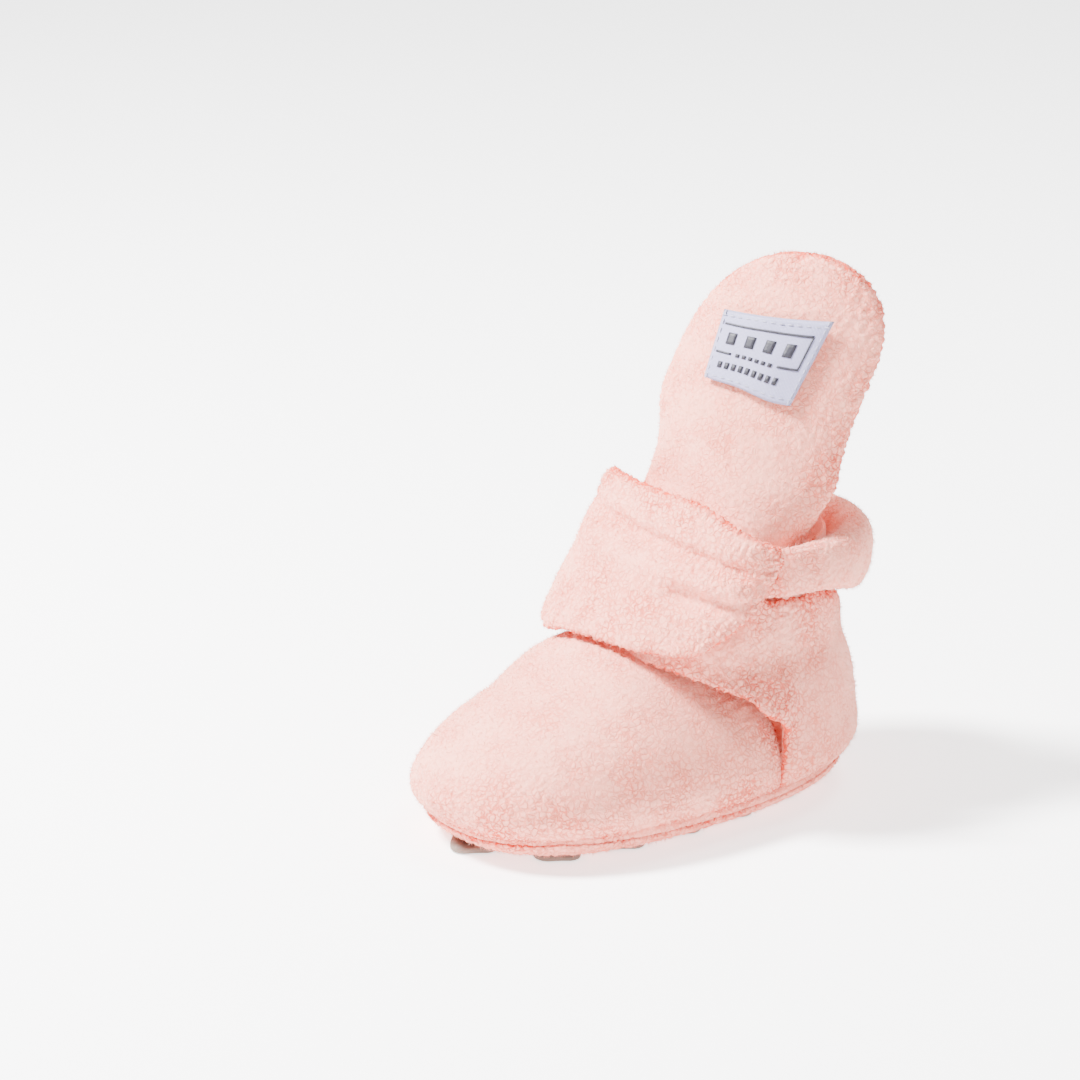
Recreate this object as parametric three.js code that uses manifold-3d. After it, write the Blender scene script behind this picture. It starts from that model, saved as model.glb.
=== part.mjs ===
// A soft baby bootie: a padded sole with rubbery grips, a rounded toe box, a heel panel whose near wing
// wraps the instep, a hook-and-loop strap over it, a gathered ankle collar and a tall folding tongue.
// Millimetres. The toe points to -Y, the strap fastens on the +X side, +Z is up, and the origin is on
// the ground in the middle of the sole.
import * as THREE from "three";
import { mergeVertices } from "three/addons/utils/BufferGeometryUtils.js";
import Module from "manifold-3d";

const wasm = await Module();
wasm.setup();

// ---------------------------------------------------------------- driving dimensions
const GAP = 0.3; // clearance between neighbouring pieces
const FLEECE = 2.4; // outer fleece, pile included
const LINING = 1.4; // inner fleece
const FOAM = 2.1; // padding in the sole

const SOLE_LENGTH = 115;
const SOLE_WIDTH = 68;
const TOE_SQUARENESS = 2.45; // exponents of the sole's rounded outline
const HEEL_SQUARENESS = 2.3;
const SOLE_EDGE_RISE = 4.5; // the sole's edge rolls up this far
const SOLE_EDGE_ROLL = 8; // over this width
const TOE_TUCK = 3.8; // the sole seam lies this far inside the bulging walls
const SIDE_TUCK = 2.4;
const HEEL_TUCK = 1.4;
const BULGE_HEIGHT = 8; // the walls are full this far above the seam
const WALL_ALLOWANCE = 6; // the padding stops this far inside the outline

const GRIP_THICKNESS = 1.2;
const GRIP_WIDTH = 13;
const GRIP_CLEARANCE = 1;
const GRIP_ROWS = 6;
const SIDE_GRIPS_FROM_TOE = 23;
const SIDE_GRIPS_FROM_HEEL = 13.5;
const SIDE_GRIPS_FROM_EDGE = 14.5;
const MIDDLE_GRIPS_FROM_TOE = 11.3;
const MIDDLE_GRIPS_FROM_HEEL = 26.7;

const SIDE_SEAM_FROM_HEEL = 39; // where the toe box meets the heel panel
const SEAM_OVERLAP = 3; // the toe box is drawn this far past the side seam, then trimmed to it
const TOE_BOX_BACK_FROM_HEEL = 54; // the toe box ends under the tongue
const INSTEP_HEIGHT = 37.8; // lower edge of the wrapping wing at the front
const INSTEP_FROM_HEEL = 57; // front of the ankle form, INSTEP_LEVEL above the ground
const INSTEP_LEVEL = 43;
const LEAN = 29.5; // the tongue and strap lean back, degrees
const ANKLE_NARROWER_BY = 7; // each side, from the sole's half width to the ankle form
const HEEL_IN_BY = 6; // the waist crease, in from the heel's end

const WAIST_HEIGHT = 46; // the gathered crease
const COLLAR_HEIGHT = 17;
const COLLAR_THICKNESS = 7.2;
const ELASTIC_WIDTH = 5;
const ELASTIC_THICKNESS = 1.1;

const STRAP_TOP = 73.5;
const STRAP_BOTTOM = 42;
const STRAP_FLEECE = 2.2;
const STRAP_LINING = 1;
const TAPE = 0.5; // hook tape and loop tape, each
const STRAP_HINGE_TURN = -68; // round the ankle from the front, degrees
const HINGE_PROUD = 1; // the hinge line stands this far off the strap

const TONGUE_FOLD_HEIGHT = 76.5;
const TONGUE_HEIGHT = 123;
const TONGUE_FLEECE = 2;
const TONGUE_FOAM = 1.3;
const TONGUE_LINING = 1.2;
const TONGUE_NEAR_TURN = 104; // its wrap round the ankle, degrees
const TONGUE_FAR_TURN = -64;
const TONGUE_NEAR_HALF = 30; // the flap reaches this far each way, along its curve
const TONGUE_FAR_HALF = 25.5;
const TONGUE_CURVE = 44; // radius of the flap's section
const TONGUE_TWIST = 25; // the flap turns towards the fastening side, degrees
const TONGUE_SHIFT = 4; // and moves that way
const FOLD_AHEAD = 4; // the fold line lies this far in front of the tongue

const LABEL_LOW = 93.5;
const LABEL_HIGH = 110;
const LABEL_WIDTH = 26.5;
const LABEL_SHIFT = 1;
const LABEL_THICKNESS = 0.5;

const HALF_LENGTH = SOLE_LENGTH / 2;
const HALF_WIDTH = SOLE_WIDTH / 2;
const SOLE_BOTTOM = GRIP_THICKNESS + GAP;
const SOLE_SEAM = SOLE_BOTTOM + SOLE_EDGE_RISE;
const UPPER_BOTTOM = SOLE_SEAM + GAP;
const SIDE_SEAM_Y = HALF_LENGTH - SIDE_SEAM_FROM_HEEL;
const LEAN_SLOPE = Math.tan(THREE.MathUtils.degToRad(LEAN));

// ---------------------------------------------------------------- finishes
const finish = (color, roughness) => new THREE.MeshStandardMaterial({ color, roughness, metalness: 0 });
const fleece = finish(0xf2d2ca, 0.95);
const soleFleece = finish(0xedc9c1, 0.95);
const liningFleece = finish(0xf0cdc4, 0.95);
const foam = finish(0xf4f0e6, 0.9);
const rubber = finish(0x9c8b83, 0.6);
const tape = finish(0xf1d8d1, 0.8);
const elastic = finish(0xf6f2ee, 0.7);
const satin = finish(0xe8e6f2, 0.5);

const bootie = new THREE.Group();

// ---------------------------------------------------------------- helpers
const lerp = THREE.MathUtils.lerp;
const radians = THREE.MathUtils.degToRad;
const signedPower = (value, power) => Math.sign(value) * Math.abs(value) ** power;

// A smooth curve through [place, value] points, flat beyond its ends.
function along(points, place) {
  const last = points.length - 1;
  if (place <= points[0][0]) return points[0][1];
  if (place >= points[last][0]) return points[last][1];
  let index = 0;
  while (points[index + 1][0] < place) index += 1;
  const slope = (from) => {
    if (from <= 0 || from >= last) return 0;
    const before = (points[from][1] - points[from - 1][1]) / (points[from][0] - points[from - 1][0]);
    const after = (points[from + 1][1] - points[from][1]) / (points[from + 1][0] - points[from][0]);
    return before * after <= 0 ? 0 : (2 * before * after) / (before + after);
  };
  const [x0, y0] = points[index];
  const [x1, y1] = points[index + 1];
  const step = x1 - x0;
  const t = (place - x0) / step;
  const startSlope = index === 0 ? (y1 - y0) / step : slope(index);
  const endSlope = index + 1 === last ? (y1 - y0) / step : slope(index + 1);
  const t2 = t * t;
  const t3 = t2 * t;
  return (
    (2 * t3 - 3 * t2 + 1) * y0 +
    (t3 - 2 * t2 + t) * step * startSlope +
    (3 * t2 - 2 * t3) * y1 +
    (t3 - t2) * step * endSlope
  );
}

// An indexed geometry whose faces point out, from a flat list of positions and triangles.
function closedGeometry(positions, triangles) {
  let volume = 0;
  const corner = (index) => new THREE.Vector3().fromArray(positions, 3 * index);
  for (let i = 0; i < triangles.length; i += 3) {
    const [a, b, c] = [corner(triangles[i]), corner(triangles[i + 1]), corner(triangles[i + 2])];
    volume += a.dot(b.cross(c));
  }
  const order = volume < 0 ? triangles.reverse() : triangles;
  const geometry = new THREE.BufferGeometry();
  geometry.setAttribute("position", new THREE.Float32BufferAttribute(positions, 3));
  geometry.setIndex(order);
  return mergeVertices(geometry, 1e-3);
}

// A panel of cloth: place(across, along, depth) gives a point, with both in 0..1 and depth 0 on the
// outside and 1 on the inside. A pinched panel closes on itself at along = 0.
function panel(place, columns, rows, pinched = false) {
  const positions = [];
  const triangles = [];
  const index = (i, j, side) => side * (columns + 1) * (rows + 1) + j * (columns + 1) + i;
  const quad = (a, b, c, d) => triangles.push(a, b, c, a, c, d);
  for (const side of [0, 1])
    for (let j = 0; j <= rows; j += 1)
      for (let i = 0; i <= columns; i += 1) positions.push(...place(i / columns, j / rows, side).toArray());
  for (let j = 0; j < rows; j += 1)
    for (let i = 0; i < columns; i += 1) {
      quad(index(i, j, 0), index(i + 1, j, 0), index(i + 1, j + 1, 0), index(i, j + 1, 0));
      quad(index(i, j, 1), index(i, j + 1, 1), index(i + 1, j + 1, 1), index(i + 1, j, 1));
    }
  for (let j = 0; j < rows; j += 1) {
    quad(index(0, j, 1), index(0, j, 0), index(0, j + 1, 0), index(0, j + 1, 1));
    quad(index(columns, j, 0), index(columns, j, 1), index(columns, j + 1, 1), index(columns, j + 1, 0));
  }
  for (let i = 0; i < columns; i += 1) {
    quad(index(i, rows, 0), index(i + 1, rows, 0), index(i + 1, rows, 1), index(i, rows, 1));
    if (!pinched) quad(index(i, 0, 1), index(i + 1, 0, 1), index(i + 1, 0, 0), index(i, 0, 0));
  }
  return dropFlat(closedGeometry(positions, triangles));
}

// The geometry without triangles that have collapsed to a line.
function dropFlat(geometry) {
  const source = geometry.index.array;
  const kept = [];
  for (let i = 0; i < source.length; i += 3) {
    const [a, b, c] = [source[i], source[i + 1], source[i + 2]];
    if (a !== b && b !== c && c !== a) kept.push(a, b, c);
  }
  geometry.setIndex(kept);
  return geometry;
}

// A closed ring-by-ring body: ring(step) gives the points of one section, with flat ends.
function lofted(ring, steps) {
  const positions = [];
  const triangles = [];
  const count = ring(0).length;
  for (let step = 0; step <= steps; step += 1)
    for (const point of ring(step / steps)) positions.push(...point.toArray());
  for (let step = 0; step < steps; step += 1)
    for (let i = 0; i < count; i += 1) {
      const a = step * count + i;
      const b = step * count + ((i + 1) % count);
      triangles.push(a, b, b + count, a, b + count, a + count);
    }
  for (let i = 1; i < count - 1; i += 1) {
    const end = steps * count;
    triangles.push(0, i + 1, i, end, end + i, end + i + 1);
  }
  return closedGeometry(positions, triangles);
}

function solidOf(geometry) {
  const bare = new THREE.BufferGeometry();
  bare.setAttribute("position", geometry.getAttribute("position"));
  bare.setIndex(geometry.index);
  const merged = mergeVertices(bare, 1e-3);
  const vertProperties = merged.getAttribute("position").array;
  return new wasm.Manifold(new wasm.Mesh({ numProp: 3, vertProperties, triVerts: merged.index.array }));
}

function geometryOf(solid) {
  const mesh = solid.getMesh();
  const geometry = new THREE.BufferGeometry();
  geometry.setAttribute("position", new THREE.BufferAttribute(mesh.vertProperties, 3));
  geometry.setIndex(new THREE.BufferAttribute(mesh.triVerts, 1));
  return geometry;
}

// What is left of a body after the others are cut away: its largest single piece.
function cutBy(geometry, ...cutters) {
  const left = cutters.reduce((solid, cutter) => solid.subtract(solidOf(cutter)), solidOf(geometry));
  const pieces = left.decompose().sort((a, b) => b.volume() - a.volume());
  return geometryOf(pieces[0]);
}

function add(name, geometry, material) {
  const mesh = new THREE.Mesh(geometry, material);
  mesh.name = name;
  bootie.add(mesh);
}

// ---------------------------------------------------------------- sole
// A point of the sole's outline, turn in 0..1 from the toe, moved in by inset.
function outlinePoint(turn, inset, z) {
  const angle = turn * 2 * Math.PI;
  const squareness = Math.cos(angle) > 0 ? TOE_SQUARENESS : HEEL_SQUARENESS;
  const endTuck = Math.cos(angle) > 0 ? TOE_TUCK : HEEL_TUCK;
  const x = (HALF_WIDTH - SIDE_TUCK - inset) * signedPower(Math.sin(angle), 2 / squareness);
  const y = -(HALF_LENGTH - endTuck - inset) * signedPower(Math.cos(angle), 2 / squareness);
  return new THREE.Vector3(x, y, z);
}

function halfWidthAt(y, inset = 0) {
  const squareness = y < 0 ? TOE_SQUARENESS : HEEL_SQUARENESS;
  const share = Math.min(1, Math.abs(y) / (HALF_LENGTH - inset));
  return (HALF_WIDTH - inset) * (1 - share ** squareness) ** (1 / squareness);
}

// A point of the upper, drawn in towards the sole seam.
function tucked(point) {
  const below = Math.max(0, 1 - (point.z - UPPER_BOTTOM) / BULGE_HEIGHT) ** 2;
  const endTuck = point.y < 0 ? TOE_TUCK : HEEL_TUCK;
  const x = point.x * (1 - (SIDE_TUCK / HALF_WIDTH) * below);
  const y = point.y * (1 - (endTuck / HALF_LENGTH) * below);
  return new THREE.Vector3(x, y, point.z);
}

// A plate with the sole's outline, whose edge follows a profile of [inset, height] points.
function plate(profile, around = 44) {
  const ring = (step) => {
    const [inset, z] = profile[Math.round(step * (profile.length - 1))];
    return Array.from({ length: around }, (_, i) => outlinePoint(i / around, inset, z));
  };
  return lofted(ring, profile.length - 1);
}

const rolledEdge = [];
for (let step = 0; step <= 4; step += 1) {
  const angle = (step / 4) * (Math.PI / 2);
  const inset = SOLE_EDGE_ROLL * (1 - Math.sin(angle));
  rolledEdge.push([inset, SOLE_BOTTOM + SOLE_EDGE_RISE * (1 - Math.cos(angle))]);
}
const soleInside = SOLE_BOTTOM + FLEECE;
add(
  "outsole",
  plate([
    ...rolledEdge,
    [FLEECE, SOLE_SEAM],
    [FLEECE + 1, lerp(soleInside, SOLE_SEAM, 0.35)],
    [WALL_ALLOWANCE, soleInside],
  ]),
  soleFleece,
);
const paddingBottom = soleInside + GAP;
const paddingTop = paddingBottom + FOAM;
const softened = (bottom, top, inset, round) => [
  [inset + round, bottom],
  [inset, bottom + round],
  [inset, top - round],
  [inset + round, top],
];
add("sole_padding", plate(softened(paddingBottom, paddingTop, WALL_ALLOWANCE, 0.5)), foam);
const footbedTop = paddingTop + GAP + LINING;
add("footbed_lining", plate(softened(paddingTop + GAP, footbedTop, WALL_ALLOWANCE, 0.4)), liningFleece);

// ---------------------------------------------------------------- grips
// A little cloud: a flat base at the back and three lobes towards the toe.
function cloudShape(width) {
  const unit = width / 13;
  const shape = new THREE.Shape();
  shape.moveTo(-4.1 * unit, 4 * unit);
  shape.lineTo(4.1 * unit, 4 * unit);
  shape.absarc(3.9 * unit, 1.4 * unit, 2.6 * unit, Math.PI * 0.47, -Math.PI * 0.42, true);
  shape.absarc(0.5 * unit, -2.2 * unit, 3.4 * unit, -Math.PI * 0.02, -Math.PI * 0.86, true);
  shape.absarc(-3.8 * unit, 1.2 * unit, 2.8 * unit, -Math.PI * 0.55, -Math.PI * 1.47, true);
  return shape;
}

function addGrip(number, x, y) {
  const options = { depth: GRIP_THICKNESS, bevelEnabled: false, curveSegments: 5 };
  const geometry = new THREE.ExtrudeGeometry(cloudShape(GRIP_WIDTH), options);
  geometry.translate(x, y, 0);
  add(`grip_cloud_${String(number).padStart(2, "0")}`, geometry, rubber);
}

function gripRows(toeMargin, heelMargin) {
  const pitch = (SOLE_LENGTH - toeMargin - heelMargin) / (GRIP_ROWS - 1);
  return Array.from({ length: GRIP_ROWS }, (_, row) => -HALF_LENGTH + toeMargin + row * pitch);
}
const middleRows = gripRows(MIDDLE_GRIPS_FROM_TOE, MIDDLE_GRIPS_FROM_HEEL);
const sideRows = gripRows(SIDE_GRIPS_FROM_TOE, SIDE_GRIPS_FROM_HEEL);

// A side grip keeps its distance from the edge, and clears the middle grips and its opposite number.
function sideGripX(y) {
  const beside = middleRows.some((middle) => Math.abs(middle - y) < GRIP_WIDTH * 0.8);
  const clear = beside ? GRIP_WIDTH + GRIP_CLEARANCE : (GRIP_WIDTH + GRIP_CLEARANCE) / 2;
  return Math.max(halfWidthAt(y) - SIDE_GRIPS_FROM_EDGE, clear);
}

let gripNumber = 1;
for (const side of [-1, 0, 1])
  for (const y of side === 0 ? middleRows : sideRows) {
    addGrip(gripNumber, side * sideGripX(y), y);
    gripNumber += 1;
  }

// ---------------------------------------------------------------- toe box
// Height of the toe box's outside along its middle, by distance from the toe.
const CROWN = [
  [0, 13],
  [2, 16],
  [6, 19.5],
  [16.5, 26.5],
  [32.5, 32.6],
  [49.5, 36],
  [62, 36.8],
];
const CROWN_SQUARENESS = [
  [0, 2.4],
  [40, 2.2],
  [75, 2.05],
];

// A point of the toe box, deep millimetres under its outside. across runs over the foot from the
// fastening side, back runs from the toe to the panel's rear edge.
function toeBoxPoint(across, back, deep) {
  const angle = across * Math.PI;
  const rise = Math.sin(angle);
  const rear = lerp(SIDE_SEAM_Y + SEAM_OVERLAP, HALF_LENGTH - TOE_BOX_BACK_FROM_HEEL, rise ** 6);
  const fromToe = lerp(0, rear + HALF_LENGTH, back);
  const y = lerp(-HALF_LENGTH + deep, rear, back);
  const squareness = along(CROWN_SQUARENESS, fromToe);
  const crown = along(CROWN, fromToe) - deep;
  const half = back === 0 ? 0 : halfWidthAt(y, deep);
  const x = half * signedPower(Math.cos(angle), 2 / squareness);
  const z = UPPER_BOTTOM + (crown - UPPER_BOTTOM) * rise ** (2 / squareness);
  return tucked(new THREE.Vector3(Math.abs(x) < 1e-6 ? 0 : x, y, z));
}

function toeBoxPanel(outside, inside, columns, rows) {
  const place = (across, back, side) => toeBoxPoint(across, back ** 1.5, side ? inside : outside);
  return panel(place, columns, rows, true);
}

// ---------------------------------------------------------------- ankle form
// The form that the heel panel, strap, collar and tongue are wrapped on, as level sections. Turn is in
// degrees from the front, positive towards the fastening side; out is the distance off the form.
const ankleHalf = HALF_WIDTH - FLEECE;
const ANKLE_HALF_WIDTH = [
  [6, ankleHalf],
  [14, ankleHalf + 0.4],
  [20, ankleHalf - 0.6],
  [26, ankleHalf - 2.2],
  [32, ankleHalf - 4.6],
  [38, ankleHalf - 7.4],
  [45, ankleHalf - ANKLE_NARROWER_BY],
  [60, ankleHalf - ANKLE_NARROWER_BY - 1.6],
  [76, ankleHalf - ANKLE_NARROWER_BY - 2],
  [TONGUE_HEIGHT, ankleHalf - ANKLE_NARROWER_BY - 1],
];
const heelBack = HALF_LENGTH - FLEECE;
const HEEL_BACK = [
  [6, heelBack],
  [12, heelBack],
  [20, heelBack - 1.4],
  [30, heelBack - 2.4],
  [38, heelBack - 4.2],
  [45, heelBack - HEEL_IN_BY + 1.5],
  [60, heelBack - 1.5],
];
const MIDDLE_FROM_HEEL = [
  [6, HALF_LENGTH],
  [20, 50],
  [32, 40.5],
  [41, 33.5],
  [60, 29.5],
  [76, 26],
];
const BACK_SQUARENESS = 2.2;
const FRONT_SQUARENESS = [
  [30, 2.3],
  [41, 3],
];

function ankleFront(z) {
  return HALF_LENGTH - INSTEP_FROM_HEEL + (Math.max(z, INSTEP_HEIGHT) - INSTEP_LEVEL) * LEAN_SLOPE;
}

function ankleMiddle(z) {
  const low = HALF_LENGTH - along(MIDDLE_FROM_HEEL, z);
  return z < 76 ? low : low + (z - 76) * LEAN_SLOPE;
}

function anklePoint(turn, z, out) {
  const angle = radians(turn);
  const middle = ankleMiddle(z);
  const forward = Math.cos(angle) > 0;
  const outFront = out / Math.cos(radians(LEAN));
  const reach = forward ? middle - ankleFront(z) + outFront : along(HEEL_BACK, z) - middle + out;
  const squareness = forward ? along(FRONT_SQUARENESS, z) : BACK_SQUARENESS;
  const x = (along(ANKLE_HALF_WIDTH, z) + out) * signedPower(Math.sin(angle), 2 / squareness);
  const y = middle - reach * signedPower(Math.cos(angle), 2 / squareness);
  return tucked(new THREE.Vector3(x, y, z));
}

// A panel on the ankle form between two edges, each a list of [turn, height] points.
function anklePanel(low, high, outside, inside, columns, rows, grow = 0, turnGrow = 0) {
  const first = Math.max(low[0][0], high[0][0]) - turnGrow;
  const last = Math.min(low[low.length - 1][0], high[high.length - 1][0]) + turnGrow;
  const place = (across, up, side) => {
    const turn = lerp(first, last, across);
    const z = lerp(along(low, turn) - grow, along(high, turn) + grow, up);
    return anklePoint(turn, z, side ? inside : outside);
  };
  return panel(place, columns, rows);
}

// ---------------------------------------------------------------- heel panel
const SEAM_TURN = 105; // the side seam, round the ankle form
const WING_TOP = 68;
const NEAR_EDGE = [
  [-56, INSTEP_HEIGHT + 1],
  [0, INSTEP_HEIGHT],
  [20, INSTEP_HEIGHT - 0.6],
  [54, INSTEP_HEIGHT - 4.3],
  [78, INSTEP_HEIGHT - 8],
  [93, INSTEP_HEIGHT - 12.5],
  [SEAM_TURN - 4, INSTEP_HEIGHT - 17],
  [SEAM_TURN - 1, 14],
  [SEAM_TURN + 2, UPPER_BOTTOM],
];
const farEdge = NEAR_EDGE.filter(([turn]) => turn > 0)
  .map(([turn, z]) => [360 - turn, z])
  .reverse();
const quarterLow = [...NEAR_EDGE, ...farEdge];
const quarterHigh = [
  [-56, WING_TOP - 2],
  [0, WING_TOP],
  [60, WING_TOP - 3],
  [70, WING_TOP - 7],
  [79, WAIST_HEIGHT],
  [281, WAIST_HEIGHT],
  [285, WING_TOP - 2],
  [299, WING_TOP - 2],
  [303, INSTEP_HEIGHT - 0.4],
  [340, INSTEP_HEIGHT - 0.2],
];
const quarterOuter = anklePanel(quarterLow, quarterHigh, FLEECE, 0, 66, 6);
// The room that its neighbours leave it: one body follows its facets, the other clears its ends.
const quarterSpace = (turnGrow) =>
  anklePanel(quarterLow, quarterHigh, FLEECE + GAP, -GAP, 66, 6, GAP, turnGrow);
const quarterRoom = [quarterSpace(0), quarterSpace(0.6)];
add("quarter_outer", quarterOuter, fleece);

// The lining has its columns where the outer panel has them, so that their facets lie parallel.
const liningLow = [
  [112, UPPER_BOTTOM],
  [250, UPPER_BOTTOM],
];
const liningHigh = [
  [112, WAIST_HEIGHT],
  [250, WAIST_HEIGHT],
];
add("quarter_lining", anklePanel(liningLow, liningHigh, -GAP, -GAP - LINING, 23, 6), liningFleece);

const toeOuter = toeBoxPanel(0, FLEECE, 22, 18);
const liningRoom = anklePanel(liningLow, liningHigh, 0, -GAP - LINING - GAP, 23, 6, GAP, 0.6);
add("vamp_outer", cutBy(toeOuter, ...quarterRoom, liningRoom), fleece);
const toeLining = toeBoxPanel(FLEECE + GAP, FLEECE + GAP + LINING, 16, 12);
add("vamp_lining", cutBy(toeLining, ...quarterRoom, liningRoom), liningFleece);

// ---------------------------------------------------------------- elastic and collar
const ELASTIC_LOW = WAIST_HEIGHT + GAP;
const band = (from, to, z) => [
  [from, z],
  [to, z],
];
add(
  "heel_elastic",
  anklePanel(
    band(116, 244, ELASTIC_LOW),
    band(116, 244, ELASTIC_LOW + ELASTIC_WIDTH),
    -GAP,
    -GAP - ELASTIC_THICKNESS,
    20,
    2,
  ),
  elastic,
);
const collarLow = WAIST_HEIGHT + GAP;
const collarHigh = collarLow + COLLAR_HEIGHT;
const collarInside = -GAP - ELASTIC_THICKNESS - GAP;
add(
  "collar_lining",
  anklePanel(
    band(112, 248, ELASTIC_LOW),
    band(112, 248, collarHigh - 1.5),
    collarInside,
    collarInside - LINING,
    24,
    4,
  ),
  liningFleece,
);
function collarRing(step) {
  const turn = lerp(79.5, 279, step);
  const end = Math.sin(Math.PI * step) ** 0.35;
  const size = lerp(0.7, 1, end);
  const points = 12;
  return Array.from({ length: points }, (_, i) => {
    const angle = (i / points) * 2 * Math.PI;
    const z = (collarLow + collarHigh) / 2 + (COLLAR_HEIGHT / 2) * size * signedPower(Math.sin(angle), 0.8);
    const out = (COLLAR_THICKNESS / 2) * size * (1 + signedPower(Math.cos(angle), 0.8));
    return anklePoint(turn, z, out);
  });
}
add("collar_band", lofted(collarRing, 26), fleece);

// ---------------------------------------------------------------- strap
const loopInside = FLEECE + GAP;
const hookInside = loopInside + TAPE + GAP;
const strapInside = hookInside + TAPE + GAP;
const strapMiddle = strapInside + STRAP_LINING + GAP;
const strapOutside = strapMiddle + STRAP_FLEECE;
const strapLow = [
  [-79, STRAP_BOTTOM - 1],
  [-40, STRAP_BOTTOM - 2.5],
  [0, STRAP_BOTTOM],
  [28, STRAP_BOTTOM - 1],
  [42, STRAP_BOTTOM + 0.6],
  [58, STRAP_BOTTOM + 7],
  [70, STRAP_BOTTOM + 13],
  [77, STRAP_BOTTOM + 18],
];
const strapHigh = [
  [-79, STRAP_TOP - 6],
  [-66, STRAP_TOP - 1],
  [-50, STRAP_TOP],
  [10, STRAP_TOP - 0.5],
  [45, STRAP_TOP - 4.5],
  [62, STRAP_TOP - 7],
  [72, STRAP_TOP - 9.5],
  [77, STRAP_TOP - 12],
];
const inset = (edge, turn, rise) => edge.map(([at, z]) => [at + (at > 0 ? -turn : turn), z + rise]);

// The hinge line at the strap's far root, on its outside, and a cutter for either side of it.
const hingeLow = anklePoint(STRAP_HINGE_TURN, STRAP_BOTTOM, strapOutside + HINGE_PROUD);
const hingeHigh = anklePoint(STRAP_HINGE_TURN, STRAP_TOP, strapOutside + HINGE_PROUD);
const hingeInner = anklePoint(STRAP_HINGE_TURN, (STRAP_BOTTOM + STRAP_TOP) / 2, 0);
const hingeAxis = hingeHigh.clone().sub(hingeLow).normalize();
function halfSpaceBeyondHinge(sign) {
  const inward = hingeInner.clone().sub(hingeLow.clone().lerp(hingeHigh, 0.5));
  const normal = hingeAxis.clone().cross(inward).normalize().multiplyScalar(sign);
  const size = 200;
  const geometry = new THREE.BoxGeometry(size, size, size);
  const turnTo = new THREE.Quaternion().setFromUnitVectors(new THREE.Vector3(1, 0, 0), normal);
  const centre = hingeLow.clone().addScaledVector(normal, size / 2 - GAP / 2);
  geometry.applyQuaternion(turnTo);
  geometry.translate(centre.x, centre.y, centre.z);
  return geometry;
}
const strapSheet = (outside, inside, columns) =>
  anklePanel(strapLow, strapHigh, outside, inside, columns, 6);
const anchorSheet = strapSheet(strapOutside, loopInside, 36);
add("strap_anchor", cutBy(anchorSheet, halfSpaceBeyondHinge(-1), ...quarterRoom), fleece);
add("strap_outer", cutBy(strapSheet(strapOutside, strapMiddle, 36), halfSpaceBeyondHinge(1)), fleece);
const liningSheet = anklePanel(
  inset(strapLow, 1.5, 0.8),
  inset(strapHigh, 1.5, -0.8),
  strapMiddle - GAP,
  strapInside,
  30,
  5,
);
add("strap_lining", cutBy(liningSheet, halfSpaceBeyondHinge(1)), liningFleece);
const tapeLow = [
  [30, STRAP_BOTTOM + 3],
  [50, STRAP_BOTTOM + 8],
  [66, STRAP_BOTTOM + 14],
];
const tapeHigh = [
  [30, STRAP_TOP - 10],
  [50, STRAP_TOP - 11.5],
  [66, STRAP_TOP - 15],
];
add("hook_patch", anklePanel(tapeLow, tapeHigh, hookInside + TAPE, hookInside, 10, 4), tape);
add("loop_patch", anklePanel(tapeLow, tapeHigh, loopInside + TAPE, loopInside, 10, 4), tape);

// ---------------------------------------------------------------- tongue
// The tongue follows the ankle form inside the wrap; above it the flap is a gently curved sheet that
// leans back and turns towards the fastening side. Side is -1 at its far edge and 1 at its near edge.
const TONGUE_ROUND = 25; // height of the rounded top
const TONGUE_SPREAD = [
  [INSTEP_HEIGHT, 0.62],
  [56, 0.94],
  [TONGUE_FOLD_HEIGHT, 1],
];
function tongueRounding(z) {
  const top = TONGUE_HEIGHT - TONGUE_ROUND;
  return z < top ? 1 : Math.sqrt(Math.max(0.02, 1 - ((z - top) / TONGUE_ROUND) ** 2.1));
}

function flapPoint(side, z, out) {
  const angle = (side * (side > 0 ? TONGUE_NEAR_HALF : TONGUE_FAR_HALF)) / TONGUE_CURVE;
  const sideways = (TONGUE_CURVE + out) * Math.sin(angle);
  const back = TONGUE_CURVE - (TONGUE_CURVE + out) * Math.cos(angle);
  const twist = radians(TONGUE_TWIST);
  const x = TONGUE_SHIFT + sideways * Math.cos(twist) - back * Math.sin(twist);
  const y = ankleFront(z) + sideways * Math.sin(twist) + back * Math.cos(twist);
  return new THREE.Vector3(x, y, z);
}

function tonguePoint(side, z, out) {
  const spread = along(TONGUE_SPREAD, z);
  const turn = lerp(TONGUE_FAR_TURN, TONGUE_NEAR_TURN, (1 + side * spread) / 2);
  const wrapped = anklePoint(turn, z, out);
  const start = TONGUE_FOLD_HEIGHT - 5 * (1 + side);
  const above = THREE.MathUtils.smoothstep(z, start, start + 16);
  return wrapped.lerp(flapPoint(side, z, out), above);
}

function tongueSheet(low, high, outside, inside, edge, columns, rows) {
  const place = (across, up, side) => {
    const z = lerp(low, high - edge, up);
    const reach = tongueRounding(z + edge) - edge / TONGUE_FAR_HALF;
    return tonguePoint(lerp(-1, 1, across) * reach, z, side ? inside : outside);
  };
  return panel(place, columns, rows);
}
const tonguePadOutside = -GAP - TONGUE_FLEECE - GAP;
const tongueLiningOutside = tonguePadOutside - TONGUE_FOAM - GAP;
const tongueInside = tongueLiningOutside - TONGUE_LINING;
const tongueLow = INSTEP_HEIGHT + 1;

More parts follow.
